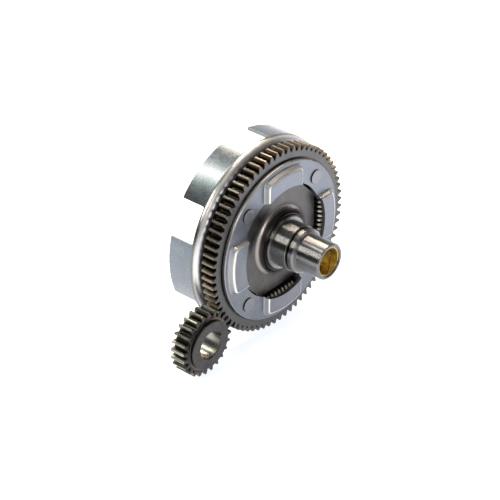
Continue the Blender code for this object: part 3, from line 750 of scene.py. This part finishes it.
def make_clutch_basket(material):
    sheet = BASKET_SHEET
    inner_top = BASKET_RAMP_TOP - sheet
    profile = rounded([
        (BASKET_BORE_RADIUS, BASKET_FLOOR_FRONT, 0.25 * MM),
        (BASKET_RAMP_TOP, BASKET_FLOOR_FRONT, 1.6 * MM),
        (BASKET_RAMP_FOOT, BASKET_SHOULDER, 1.6 * MM),
        (BASKET_RADIUS, BASKET_SHOULDER, BASKET_CORNER),
        (BASKET_RADIUS, TAB_END, 0.3 * MM),
        (BASKET_RADIUS - sheet, TAB_END, 0.3 * MM),
        (BASKET_RADIUS - sheet, BASKET_SHOULDER - sheet, BASKET_CORNER - sheet),
        (BASKET_RAMP_FOOT - sheet * 0.6, BASKET_SHOULDER - sheet, 2.2 * MM),
        (inner_top - 0.4 * MM, BASKET_FLOOR_BACK, 1.0 * MM),
        (BASKET_BORE_RADIUS, BASKET_FLOOR_BACK, 0.25 * MM)], steps=8)
    basket = make_object("clutch_basket_finish", turned(profile, BASKET_SEGMENTS))
    gap_direction = TAB_DIRECTION + math.pi / TAB_COUNT
    combine(basket, repeated(tab_gap_loops(), TAB_COUNT, gap_direction))
    break_edges(basket, 0.3 * MM, math.radians(60))

    def seat(grow, height):
        return rounded_rectangle(BASKET_SEAT_INNER - grow, BASKET_SEAT_OUTER + grow,
                                 WINDOW_HALF_LENGTH + grow, 1.5 * MM + grow, height)

    edge = 0.3 * MM
    cuts = [seat(0.0, BASKET_FLOOR_BACK + BASKET_SEAT_SKIN), seat(0.0, BASKET_FLOOR_FRONT - edge),
            seat(edge, BASKET_FLOOR_FRONT), seat(edge + OVERRUN, BASKET_FLOOR_FRONT + OVERRUN)]
    combine(basket, repeated(cuts, SPRING_COUNT))

    def hole(grow, height):
        return disc(RIVET_ORBIT, RIVET_SHANK_RADIUS + GAP + grow, height)

    pierce(basket, hole, BASKET_FLOOR_BACK, BASKET_FLOOR_FRONT, 0.2 * MM, RIVET_COUNT, RIVET_DIRECTION)
    return place(basket, material, "basket", ["clutch_basket"])


# ---------------------------------------------------------------- materials

class Nodes:
    """Short forms for the nodes of one tree."""

    def __init__(self, tree):
        self.tree = tree

    def node(self, kind, inputs=None, **settings):
        """A new node with its settings, and its inputs fed by name or by number."""
        made = self.tree.nodes.new(kind)
        for key, value in settings.items():
            setattr(made, key, value)
        for key, value in (inputs or {}).items():
            self.feed(made.inputs[key], value)
        return made

    def feed(self, socket, value):
        """Link another node's output to the socket, or set its value; a plain colour becomes opaque."""
        if isinstance(value, bpy.types.NodeSocket):
            self.tree.links.new(value, socket)
        elif socket.type == "RGBA":
            socket.default_value = (*value, 1.0)
        else:
            socket.default_value = value

    def maths(self, operation, *values):
        return self.node("ShaderNodeMath", dict(enumerate(values)), operation=operation).outputs[0]

    def both(self, first, second):
        return self.maths("MULTIPLY", first, second)

    def parts(self, vector):
        return self.node("ShaderNodeSeparateXYZ", {0: vector}).outputs

    def ramp(self, value, low, high, to_low=0.0, to_high=1.0):
        """A smooth step from to_low, where the value is low, to to_high; low may be the larger limit."""
        inputs = dict(enumerate((value, low, high, to_low, to_high)))
        return self.node("ShaderNodeMapRange", inputs, interpolation_type="SMOOTHSTEP").outputs[0]

    def tint(self, share, first, second):
        """The first colour, mixed with that share of the second."""
        return self.node("ShaderNodeMix", {0: share, 6: first, 7: second}, data_type="RGBA").outputs[2]


class Finish(Nodes):
    """A Principled material under construction."""

    def __init__(self, name, metallic=1.0, anisotropic=0.0):
        self.material = bpy.data.materials.new(name)
        self.material.use_nodes = True
        super().__init__(self.material.node_tree)
        self.shader = self.tree.nodes["Principled BSDF"]
        self.shader.inputs["Metallic"].default_value = metallic
        self.shader.inputs["Anisotropic"].default_value = anisotropic
        self.point = self.node("ShaderNodeTexCoord").outputs["Object"]
        self.height = None

    def round_point(self):
        """(distance from the axis, 0, place along the axis): noise of this draws lathe marks."""
        x, y, z = self.parts(self.point)
        radius = self.maths("SQRT", self.maths("ADD", self.both(x, x), self.both(y, y)))
        return self.node("ShaderNodeCombineXYZ", {0: radius, 2: z}).outputs[0]

    def radius(self):
        """Distance from the axis in metres."""
        return self.parts(self.round_point())[0]

    def along(self):
        """Place along the axis in metres."""
        return self.parts(self.point)[2]

    def axial(self):
        """How squarely the surface faces along the axis: 1 on end faces, 0 on turned walls."""
        return self.maths("ABSOLUTE", self.parts(self.node("ShaderNodeTexCoord").outputs["Normal"])[2])

    def wall(self):
        """1 on turned walls and tooth flanks, 0 on end faces."""
        return self.ramp(self.axial(), 0.75, 0.3)

    def noise(self, scale, detail, roughness=0.55, vector=None, distortion=0.0):
        inputs = {"Vector": self.point if vector is None else vector, "Scale": scale, "Detail": detail,
                  "Roughness": roughness, "Distortion": distortion}
        return self.node("ShaderNodeTexNoise", inputs).outputs["Fac"]

    def between(self, value, rise, fall):
        """1 from the end of the rise to the start of the fall, both given as (start, end)."""
        return self.both(self.ramp(value, *rise), self.ramp(value, fall[1], fall[0]))

    def mottled(self, noise, first, second, low=0.3, high=0.7):
        """Two colours in soft patches."""
        return self.tint(self.ramp(noise, low, high), first, second)

    def layered(self, colour, layers):
        """The colour under layers of paint, each given as (share, colour)."""
        for share, paint in layers:
            colour = self.tint(share, colour, paint)
        return colour

    def uneven(self, noise, low, high, until=0.75):
        """A value that wanders from low to high with the noise."""
        return self.ramp(noise, 0.3, until, low, high)

    def two_scales(self, broad, fine):
        """A value that wanders over broad patches and over fine marks, each (noise, low, high)."""
        return self.maths("ADD", self.uneven(*broad), self.uneven(*fine, until=0.7))

    def worn_edge(self, width):
        """Near 1 on outside edges, where handling has rubbed the surface bright."""
        smooth = self.node("ShaderNodeBevel", {"Radius": width}, samples=6).outputs[0]
        actual = self.node("ShaderNodeNewGeometry").outputs["Normal"]
        match = self.node("ShaderNodeVectorMath", {0: smooth, 1: actual}, operation="DOT_PRODUCT")
        return self.both(self.ramp(match.outputs["Value"], 0.99, 0.86), self.open_sky(0.8 * MM))

    def open_sky(self, distance):
        """1 on open surfaces, falling towards 0 in corners and grooves, where it masks painted shade and
        keeps edge wear off.
        """
        made = self.node("ShaderNodeAmbientOcclusion", {"Distance": distance}, samples=8)
        return self.ramp(made.outputs["AO"], 0.35, 0.9)

    def bump(self, value, distance, strength):
        inputs = {"Strength": strength, "Distance": distance, "Height": value}
        if self.height is not None:
            inputs["Normal"] = self.height
        self.height = self.node("ShaderNodeBump", inputs).outputs[0]

    def brush_round_axis(self, amount):
        """Turning marks run round the axis, so highlights stretch across them."""
        tangent = self.node("ShaderNodeTangent", direction_type="RADIAL", axis="Z")
        self.feed(self.shader.inputs["Tangent"], tangent.outputs[0])
        self.shader.inputs["Anisotropic"].default_value = amount
        self.shader.inputs["Anisotropic Rotation"].default_value = 0.25

    def done(self, colour, roughness):
        self.feed(self.shader.inputs["Base Color"], colour)
        self.feed(self.shader.inputs["Roughness"], roughness)
        if self.height is not None:
            self.feed(self.shader.inputs["Normal"], self.height)
        return self.material


def gear_steel():
    """Dark case-hardened steel: turned faces, tooth roots near black and paler up the flanks, flanks rubbed
    bright at the tips, a painted highlight on the boss fillet and painted shade inside the boss.
    """
    web_dark, web_light = (0.050, 0.047, 0.048), (0.078, 0.075, 0.077)
    rim_grey, boss_painted_highlight, boss_painted_shade = (0.078, 0.077, 0.079), (0.27, 0.24, 0.225), (0.022, 0.019, 0.018)
    root_black, flank_brown, tip_grey = (0.012, 0.011, 0.009), (0.125, 0.098, 0.07), (0.15, 0.138, 0.12)
    rubbed = (0.56, 0.55, 0.53)
    f = Finish("gear_steel_finish")
    f.brush_round_axis(0.2)
    round_point = f.round_point()
    radius = f.radius()
    lathe = f.noise(2600.0, 2.0, 0.6, round_point)
    bands = f.noise(260.0, 3.0, 0.5, round_point)
    mottle = f.noise(95.0, 5.0, 0.6)
    grain = f.noise(3200.0, 2.0)
    # The band on the boss fillet where a highlight is painted and the surface is smoother.
    boss_corner = f.between(radius, (21.3 * MM, 22.5 * MM), (22.9 * MM, 24.8 * MM))
    inside_boss = f.ramp(radius, 22.2 * MM, 20.8 * MM)
    rim = f.ramp(radius, RIM_INNER_RADIUS - 0.2 * MM, RIM_INNER_RADIUS + 0.2 * MM)
    tooth = f.both(f.wall(), f.ramp(radius, 60.0 * MM, 60.5 * MM))
    up_the_tooth = f.ramp(radius, 61.3 * MM, 64.4 * MM)
    tip_land = f.ramp(radius, 64.45 * MM, 64.7 * MM)
    wear = f.both(f.worn_edge(0.18 * MM), f.ramp(radius, 50.0 * MM, 56.0 * MM, 0.0, 0.8))
    flank = f.tint(tip_land, f.tint(up_the_tooth, root_black, flank_brown), tip_grey)
    colour = f.layered(f.mottled(mottle, web_dark, web_light, low=0.32), [
        # Painted highlight on the boss fillet.
        (boss_corner, boss_painted_highlight),
        # Painted shade inside the boss, round the collar.
        (inside_boss, boss_painted_shade),
        (f.both(rim, 0.8), rim_grey),
        (f.both(bands, 0.25), rim_grey),
        (tooth, flank),
        (wear, rubbed)])
    roughness = f.two_scales((mottle, 0.32, 0.42), (lathe, -0.03, 0.04))
    roughness = f.maths("SUBTRACT", roughness, f.both(boss_corner, 0.12))
    plain = f.maths("SUBTRACT", 1.0, boss_corner)
    f.bump(f.both(lathe, plain), 0.015 * MM, 0.4)
    f.bump(f.both(grain, plain), 0.015 * MM, 0.35)
    return f.done(colour, roughness)


def pinion_steel():
    """Near-black heat-treated faces, with ground flanks, a rusty witness ring and a honed bore."""
    dark, light = (0.040, 0.038, 0.041), (0.068, 0.064, 0.064)
    root_black, flank_grey, tip_grey = (0.035, 0.034, 0.026), (0.155, 0.146, 0.124), (0.23, 0.23, 0.21)
    rust, painted_shade_black = (0.20, 0.125, 0.10), (0.008, 0.008, 0.007)
    honed, rubbed = (0.27, 0.258, 0.24), (0.30, 0.28, 0.25)
    f = Finish("pinion_steel_finish", anisotropic=0.2)
    radius = f.radius()
    wall = f.wall()
    lathe = f.noise(2400.0, 2.0, 0.6, f.round_point())
    mottle = f.noise(140.0, 5.0, 0.6)
    grain = f.noise(3000.0, 2.0)
    bore = f.both(wall, f.ramp(radius, 11.4 * MM, 10.9 * MM))
    hub_wall = f.both(wall, f.between(radius, (16.5 * MM, 16.8 * MM), (17.3 * MM, 17.5 * MM)))
    rust_ring = f.between(radius, (17.1 * MM, 17.4 * MM), (17.6 * MM, 17.9 * MM))
    tooth = f.both(wall, f.ramp(radius, 18.0 * MM, 18.4 * MM))
    up_the_tooth = f.ramp(radius, 19.2 * MM, 22.2 * MM)
    tip_land = f.ramp(radius, 22.3 * MM, 22.6 * MM)
    flank = f.tint(tip_land, f.tint(up_the_tooth, root_black, flank_grey), tip_grey)
    colour = f.layered(f.mottled(mottle, dark, light), [
        (f.both(rust_ring, 0.8), rust),
        (tooth, flank),
        # Painted shade: the hub's side wall is black, as shade round its foot.
        (hub_wall, painted_shade_black),
        (bore, honed),
        (f.both(f.worn_edge(0.3 * MM), 0.5), rubbed)])
    roughness = f.uneven(mottle, 0.36, 0.5)
    roughness = f.maths("SUBTRACT", roughness, f.both(tooth, 0.12))
    roughness = f.maths("SUBTRACT", roughness, f.both(bore, 0.14))
    f.bump(lathe, 0.02 * MM, 0.45)
    f.bump(grain, 0.015 * MM, 0.3)
    return f.done(colour, roughness)


def ground_steel():
    """Cylindrically ground steel: near mirror on its journals, duller on its faces, with painted shade black
    in its groove and dark on the collar's wall and in corners.
    """
    dark, light, banded = (0.186, 0.189, 0.195), (0.206, 0.210, 0.216), (0.165, 0.166, 0.170)
    end_face, collar_face, collar_wall_painted_shade = (0.115, 0.113, 0.108), (0.17, 0.172, 0.175), (0.05, 0.049, 0.048)
    painted_shade_black, corner_painted_shade = (0.010, 0.009, 0.008), (0.02, 0.018, 0.016)
    f = Finish("ground_steel_finish")
    f.brush_round_axis(1.0)
    round_point = f.round_point()
    radius = f.radius()
    rings = f.noise(3400.0, 2.0, 0.65, round_point)
    bands = f.noise(420.0, 2.0, 0.5, round_point)
    haze = f.noise(120.0, 4.0, 0.6)
    face = f.ramp(f.axial(), 0.6, 0.9)
    on_collar_face = f.ramp(radius, 15.9 * MM, 16.1 * MM)
    on_collar_wall = f.ramp(radius, 17.7 * MM, 18.3 * MM, 0.0, 0.7)
    groove = f.between(radius, (14.55 * MM, 14.65 * MM), (14.95 * MM, 15.15 * MM))
    behind_land = f.ramp(f.along(), LAND_BACK + 0.1 * MM, LAND_BACK - 0.1 * MM)
    colour = f.layered(f.mottled(haze, dark, light), [
        (f.ramp(bands, 0.45, 0.75, 0.0, 0.4), banded),
        (face, f.tint(on_collar_face, end_face, collar_face)),
        # Painted shade on the collar's wall, in the gap round the collar.
        (on_collar_wall, collar_wall_painted_shade),
        # Painted shade: the groove behind the land is black.
        (f.both(groove, behind_land), painted_shade_black)])
    # Painted shade in corners and grooves.
    colour = f.tint(f.open_sky(1.2 * MM), corner_painted_shade, colour)
    roughness = f.two_scales((haze, 0.27, 0.285), (rings, -0.005, 0.01))
    f.bump(bands, 0.001 * MM, 0.05)
    return f.done(colour, roughness)


def zinc_plate():
    """Satin zinc on pressed sheet: bluish and finely grained, its pocket walls painted lighter, a highlight
    painted where it bends up to a pocket, and painted shade in its corners.
    """
    dark, light = (0.108, 0.119, 0.143), (0.143, 0.156, 0.185)
    flake, speck = (0.19, 0.20, 0.228), (0.12, 0.12, 0.13)
    wall_painted_light, bend_painted_highlight = (0.26, 0.265, 0.275), (0.62, 0.62, 0.615)
    rubbed, corner_painted_shade = (0.42, 0.43, 0.44), (0.07, 0.072, 0.08)
    f = Finish("zinc_plate_finish")
    grain = f.noise(2300.0, 3.0, 0.65)
    bloom = f.noise(70.0, 4.0, 0.55, distortion=0.6)
    spangle = f.noise(520.0, 3.0, 0.6)
    specks = f.noise(1500.0, 1.0, 0.5)
    tilt = f.axial()
    bend = f.both(f.ramp(tilt, 0.985, 0.90), f.ramp(tilt, 0.50, 0.70))
    near_top = f.ramp(f.along(), 4.2 * MM, 4.8 * MM)
    colour = f.layered(f.mottled(bloom, dark, light, high=0.72), [
        (f.ramp(spangle, 0.35, 0.7, 0.0, 0.35), flake),
        (f.ramp(specks, 0.70, 0.78, 0.0, 0.5), speck),
        # Painted light: the pocket walls are lighter than the flat sheet.
        (f.ramp(tilt, 0.75, 0.55), wall_painted_light),
        # Painted highlight along each pocket's bends, strongest at the top.
        (f.both(bend, f.ramp(near_top, 0.0, 1.0, 0.25, 1.0)), bend_painted_highlight),
        (f.both(f.worn_edge(0.3 * MM), 0.25), rubbed)])
    # Painted shade in corners and grooves.
    colour = f.tint(f.open_sky(0.8 * MM), corner_painted_shade, colour)
    roughness = f.two_scales((bloom, 0.34, 0.42), (spangle, -0.03, 0.05))
    f.bump(grain, 0.02 * MM, 0.5)
    f.bump(spangle, 0.03 * MM, 0.3)
    return f.done(colour, roughness)


def basket_steel():
    """Bright satin pressed sheet with soft blooms, a painted highlight on its shoulder and painted shade
    black in the spring seats.
    """
    dark, light, flake = (0.146, 0.168, 0.192), (0.178, 0.202, 0.230), (0.25, 0.265, 0.28)
    bend_grey, shoulder_painted_highlight = (0.15, 0.153, 0.145), (0.60, 0.60, 0.615)
    rubbed, painted_shade_black = (0.58, 0.57, 0.56), (0.016, 0.014, 0.012)
    f = Finish("basket_steel_finish")
    radius = f.radius()
    tilt = f.axial()
    bloom = f.noise(55.0, 4.0, 0.55, distortion=0.5)
    spangle = f.noise(480.0, 3.0, 0.6)
    grain = f.noise(1900.0, 3.0, 0.65)
    outside = f.ramp(radius, 59.5 * MM, 61.0 * MM)
    bend = f.both(f.ramp(tilt, 0.02, 0.12), outside)
    shoulder = f.both(f.ramp(tilt, 0.28, 0.60), outside)
    below_floor = (BASKET_FLOOR_FRONT - 0.7 * MM, BASKET_FLOOR_FRONT - 0.3 * MM)
    above_back = (BASKET_FLOOR_BACK + 0.05 * MM, BASKET_FLOOR_BACK + 0.2 * MM)
    seat = f.both(f.between(f.along(), above_back, below_floor), f.ramp(radius, 51.0 * MM, 50.0 * MM))
    colour = f.layered(f.mottled(bloom, dark, light, high=0.72), [
        (f.ramp(spangle, 0.4, 0.7, 0.0, 0.10), flake),
        (bend, bend_grey),
        # Painted highlight: the shoulder is pale.
        (shoulder, shoulder_painted_highlight),
        (f.both(f.worn_edge(0.4 * MM), 0.5), rubbed),
        # Painted shade: the spring seats' walls and floors are black.
        (seat, painted_shade_black)])
    roughness = f.two_scales((bloom, 0.23, 0.28), (spangle, -0.01, 0.03))
    roughness = f.maths("ADD", roughness, f.both(shoulder, 0.10))
    f.bump(grain, 0.002 * MM, 0.15)
    return f.done(colour, roughness)


def rivet_steel():
    """Upset rivet heads with the plate's zinc, stamped flat, with painted shade on the head's rim and in
    corners.
    """
    dark, light = (0.135, 0.142, 0.16), (0.18, 0.188, 0.208)
    rubbed, rivet_rim_painted_shade, corner_painted_shade = (0.42, 0.42, 0.42), (0.022, 0.022, 0.024), (0.05, 0.05, 0.055)
    f = Finish("rivet_steel_finish")
    press = f.noise(900.0, 3.0, 0.6)
    rings = f.noise(1900.0, 2.0, 0.5, f.round_point())
    grain = f.noise(3600.0, 2.0)
    colour = f.layered(f.mottled(press, dark, light), [
        (f.both(f.worn_edge(0.3 * MM), 0.4), rubbed),
        # Painted shade: the head's side wall is near black.
        (f.ramp(f.axial(), 0.80, 0.45), rivet_rim_painted_shade)])
    # Painted shade in corners and grooves.
    colour = f.tint(f.open_sky(0.8 * MM), corner_painted_shade, colour)
    roughness = f.two_scales((press, 0.34, 0.46), (rings, -0.03, 0.03))
    f.bump(press, 0.03 * MM, 0.4)
    f.bump(grain, 0.01 * MM, 0.3)
    return f.done(colour, roughness)


def spacer_steel():
    """Cut lengths of turned tube."""
    dark, light = (0.26, 0.255, 0.245), (0.34, 0.335, 0.32)
    f = Finish("spacer_steel_finish")
    rings = f.noise(2200.0, 2.0, 0.6, f.round_point())
    haze = f.noise(300.0, 3.0)
    f.bump(rings, 0.02 * MM, 0.5)
    return f.done(f.mottled(haze, dark, light), f.uneven(rings, 0.26, 0.4, until=0.7))


def spring_steel():
    """Tempered wire: painted bright on the lit front of each coil, painted shade black at the back and
    between coils.
    """
    lit_painted_low, lit_painted_high = (0.74, 0.70, 0.62), (0.86, 0.82, 0.75)
    painted_shade_black = (0.02, 0.018, 0.016)
    f = Finish("spring_steel_finish", metallic=0.45)
    scale = f.noise(700.0, 4.0, 0.6)
    drawn = f.noise(2600.0, 2.0)
    outward, _, along = f.parts(f.point)
    front = f.ramp(along, SPRING_PLANE + 1.6 * MM, SPRING_PLANE + 3.0 * MM)
    inner = f.ramp(outward, SPRING_ORBIT + 1.5 * MM, SPRING_ORBIT - 0.5 * MM)
    # Painted light and shade: the coils' inner front is bright, the rest black.
    colour = f.tint(f.both(front, inner), painted_shade_black, f.mottled(scale, lit_painted_low, lit_painted_high))
    # Painted shade between the coils.
    colour = f.tint(f.open_sky(1.0 * MM), painted_shade_black, colour)
    f.bump(drawn, 0.012 * MM, 0.4)
    return f.done(colour, f.uneven(scale, 0.38, 0.5))


def bronze():
    """Rolled bearing bronze: rich gold, lightly burnished round the bore, dark in its joint."""
    gold, pale_gold, end_face = (0.98, 0.66, 0.13), (1.0, 0.80, 0.25), (0.20, 0.165, 0.10)
    joint_black, rubbed = (0.05, 0.025, 0.006), (0.60, 0.54, 0.40)
    f = Finish("bronze_finish")
    f.brush_round_axis(0.8)
    radius = f.radius()
    rings = f.noise(2800.0, 2.0, 0.6, f.round_point())
    patina = f.noise(180.0, 4.0, 0.6)
    grain = f.noise(2600.0, 3.0)
    bore = BUSH_INNER_RADIUS
    joint = f.between(radius, (bore + 0.02 * MM, bore + 0.15 * MM), (9.7 * MM, 9.9 * MM))
    joint = f.both(joint, f.ramp(f.axial(), 0.5, 0.2))
    colour = f.layered(f.mottled(patina, gold, pale_gold, high=0.72), [
        (joint, joint_black),
        (f.ramp(f.axial(), 0.5, 0.8), end_face),
        (f.both(f.worn_edge(0.15 * MM), 0.5), rubbed)])
    roughness = f.two_scales((patina, 0.25, 0.34), (rings, -0.03, 0.04))
    f.bump(rings, 0.015 * MM, 0.4)
    f.bump(grain, 0.01 * MM, 0.25)
    return f.done(colour, roughness)


# ---------------------------------------------------------------- stage

def make_floor():
    """A pale sheet under the set, larger than any view of it needs; it glows, with a painted pool of light
    round one spot.
    """
    floor_height = cad_box[0].z - FLOOR_DROP
    bm = bmesh.new()
    bm.faces.new([bm.verts.new((x * FLOOR_REACH, y * FLOOR_REACH, floor_height))
                  for x, y in ((-1, -1), (1, -1), (1, 1), (-1, 1))])
    floor = make_object("floor", bm)
    f = Finish("floor_finish", metallic=0.0)
    paper = f.noise(30.0, 3.0)
    colour = f.tint(paper, FLOOR_DARK, FLOOR_LIGHT)
    centre = (*FLOOR_GLOW_CENTRE, floor_height)
    away = f.node("ShaderNodeVectorMath", {0: f.point, 1: centre}, operation="DISTANCE")
    f.feed(f.shader.inputs["Emission Color"], colour)
    # Painted light: the glow rises to a bright pool round the spot.
    glow = f.ramp(away.outputs["Value"], FLOOR_GLOW_RADIUS, 0.0, FLOOR_GLOW, FLOOR_GLOW_PEAK)
    f.feed(f.shader.inputs["Emission Strength"], glow)
    floor.data.materials.append(f.done(colour, FLOOR_ROUGHNESS))


def hang(name, data, location, facing):
    """Put a light or a camera at its place, looking along the given direction."""
    obj = bpy.data.objects.new(name, data)
    obj.location = location
    obj.rotation_euler = facing.to_track_quat("-Z", "Y").to_euler()
    bpy.context.scene.collection.objects.link(obj)
    return obj


def area_light(name, direction, distance, size, watts, colour):
    """A soft rectangular light that hangs in the given direction and faces the set."""
    data = bpy.data.lights.new(name, "AREA")
    data.shape = "RECTANGLE"
    data.size, data.size_y = size
    data.energy = watts
    data.color = colour
    location = Vector(direction).normalized() * distance
    hang(name, data, location, -location)


def make_lights():
    """Each light's name, direction, distance, size, power in watts and colour."""
    white, rose, mint, straw = (1.0, 1.0, 1.0), (1.0, 0.80, 0.72), (0.58, 1.0, 0.70), (1.0, 0.84, 0.64)
    cream, ivory, pearl = (1.0, 0.94, 0.82), (1.0, 0.96, 0.90), (1.0, 0.96, 0.94)
    area_light("overhead_softbox", (0.1, 0.1, 1.0), 1.8, (1.6, 1.6), 5.0, white)
    area_light("back_softbox", (-0.22, 0.556, 0.8), 1.3, (0.17, 0.8), 5.0, rose)
    area_light("back_card", (-0.24, 0.556, 0.8), 1.4, (0.50, 0.6), 1.5, mint)
    area_light("back_right_card", (0.45, 0.556, 0.70), 1.4, (0.35, 0.4), 7.5, straw)
    area_light("right_softbox", (0.36, 0.12, 0.93), 1.4, (0.33, 0.95), 28.0, straw)
    area_light("camera_softbox", (-0.743, 0.05, 0.669), 1.5, (0.3, 0.75), 18.0, cream)
    area_light("bore_softbox", (-0.60, -0.62, 0.50), 1.25, (0.25, 0.25), 1.3, ivory)
    area_light("front_softbox", (0.0, -1.0, 0.06), 1.2, (0.55, 0.2), 2.0, pearl)


def make_world():
    """A studio round the set: pale overhead, dark green on the left, beige on the right, dim in front."""
    world = bpy.data.worlds.new("studio")
    bpy.context.scene.world = world
    world.use_nodes = True
    nodes = Nodes(world.node_tree)
    x, y, z = nodes.parts(nodes.node("ShaderNodeTexCoord").outputs["Generated"])
    overhead = (0.50, 0.50, 0.49)

    def gradient(stops):
        """Colours from the lowest height to the highest."""
        ramp = nodes.node("ShaderNodeValToRGB", {"Fac": z})
        elements = ramp.color_ramp.elements
        elements[0].position, elements[1].position = stops[0][0], stops[-1][0]
        for position, _ in stops[1:-1]:
            elements.new(position)
        for element, (_, colour) in zip(elements, stops):
            element.color = (*colour, 1.0)
        return ramp.outputs["Color"]

    left = gradient([(0.0, (0.20, 0.22, 0.23)), (0.15, (0.06, 0.07, 0.063)), (0.5, (0.10, 0.115, 0.105)),
                     (0.72, (0.42, 0.43, 0.42)), (1.0, overhead)])
    right = gradient([(0.0, (1.3, 1.28, 1.34)), (0.2, (1.2, 1.15, 1.12)), (0.55, (0.52, 0.49, 0.455)),
                      (0.85, (0.40, 0.39, 0.37)), (1.0, overhead)])
    front = gradient([(0.0, (0.16, 0.15, 0.145)), (0.6, (0.16, 0.15, 0.14)), (1.0, overhead)])
    behind = nodes.tint(nodes.ramp(x, -0.45, 0.35), left, right)
    whole = nodes.tint(nodes.ramp(y, -0.5, 0.0), front, behind)
    nodes.feed(world.node_tree.nodes["Background"].inputs["Color"], whole)


def make_camera():
    data = bpy.data.cameras.new("camera")
    data.lens = CAMERA_LENS_MM
    data.sensor_width = CAMERA_SENSOR_MM
    back = Vector((math.sin(CAMERA_AZIMUTH) * math.cos(CAMERA_ELEVATION),
                   -math.cos(CAMERA_AZIMUTH) * math.cos(CAMERA_ELEVATION), math.sin(CAMERA_ELEVATION)))
    bpy.context.scene.camera = hang("camera", data, CAMERA_TARGET + back * CAMERA_DISTANCE, -back)


def build():
    make_camera()
    make_world()
    make_lights()
    make_floor()
    bpy.context.scene.view_settings.view_transform = "Standard"
    bronze_finish = bronze()
    make_driven_gear(gear_steel())
    make_hub_sleeve(ground_steel())
    make_bush("front_bush", SLEEVE_FRONT - BUSH_RECESS - BUSH_LENGTH, bronze_finish)
    make_bush("rear_bush", SLEEVE_BACK + BUSH_RECESS, bronze_finish)
    make_cover_plate(zinc_plate())
    make_rivets_and_spacers(rivet_steel(), spacer_steel())
    make_damper_springs(spring_steel())
    make_clutch_basket(basket_steel())
    make_pinion(pinion_steel())


build()
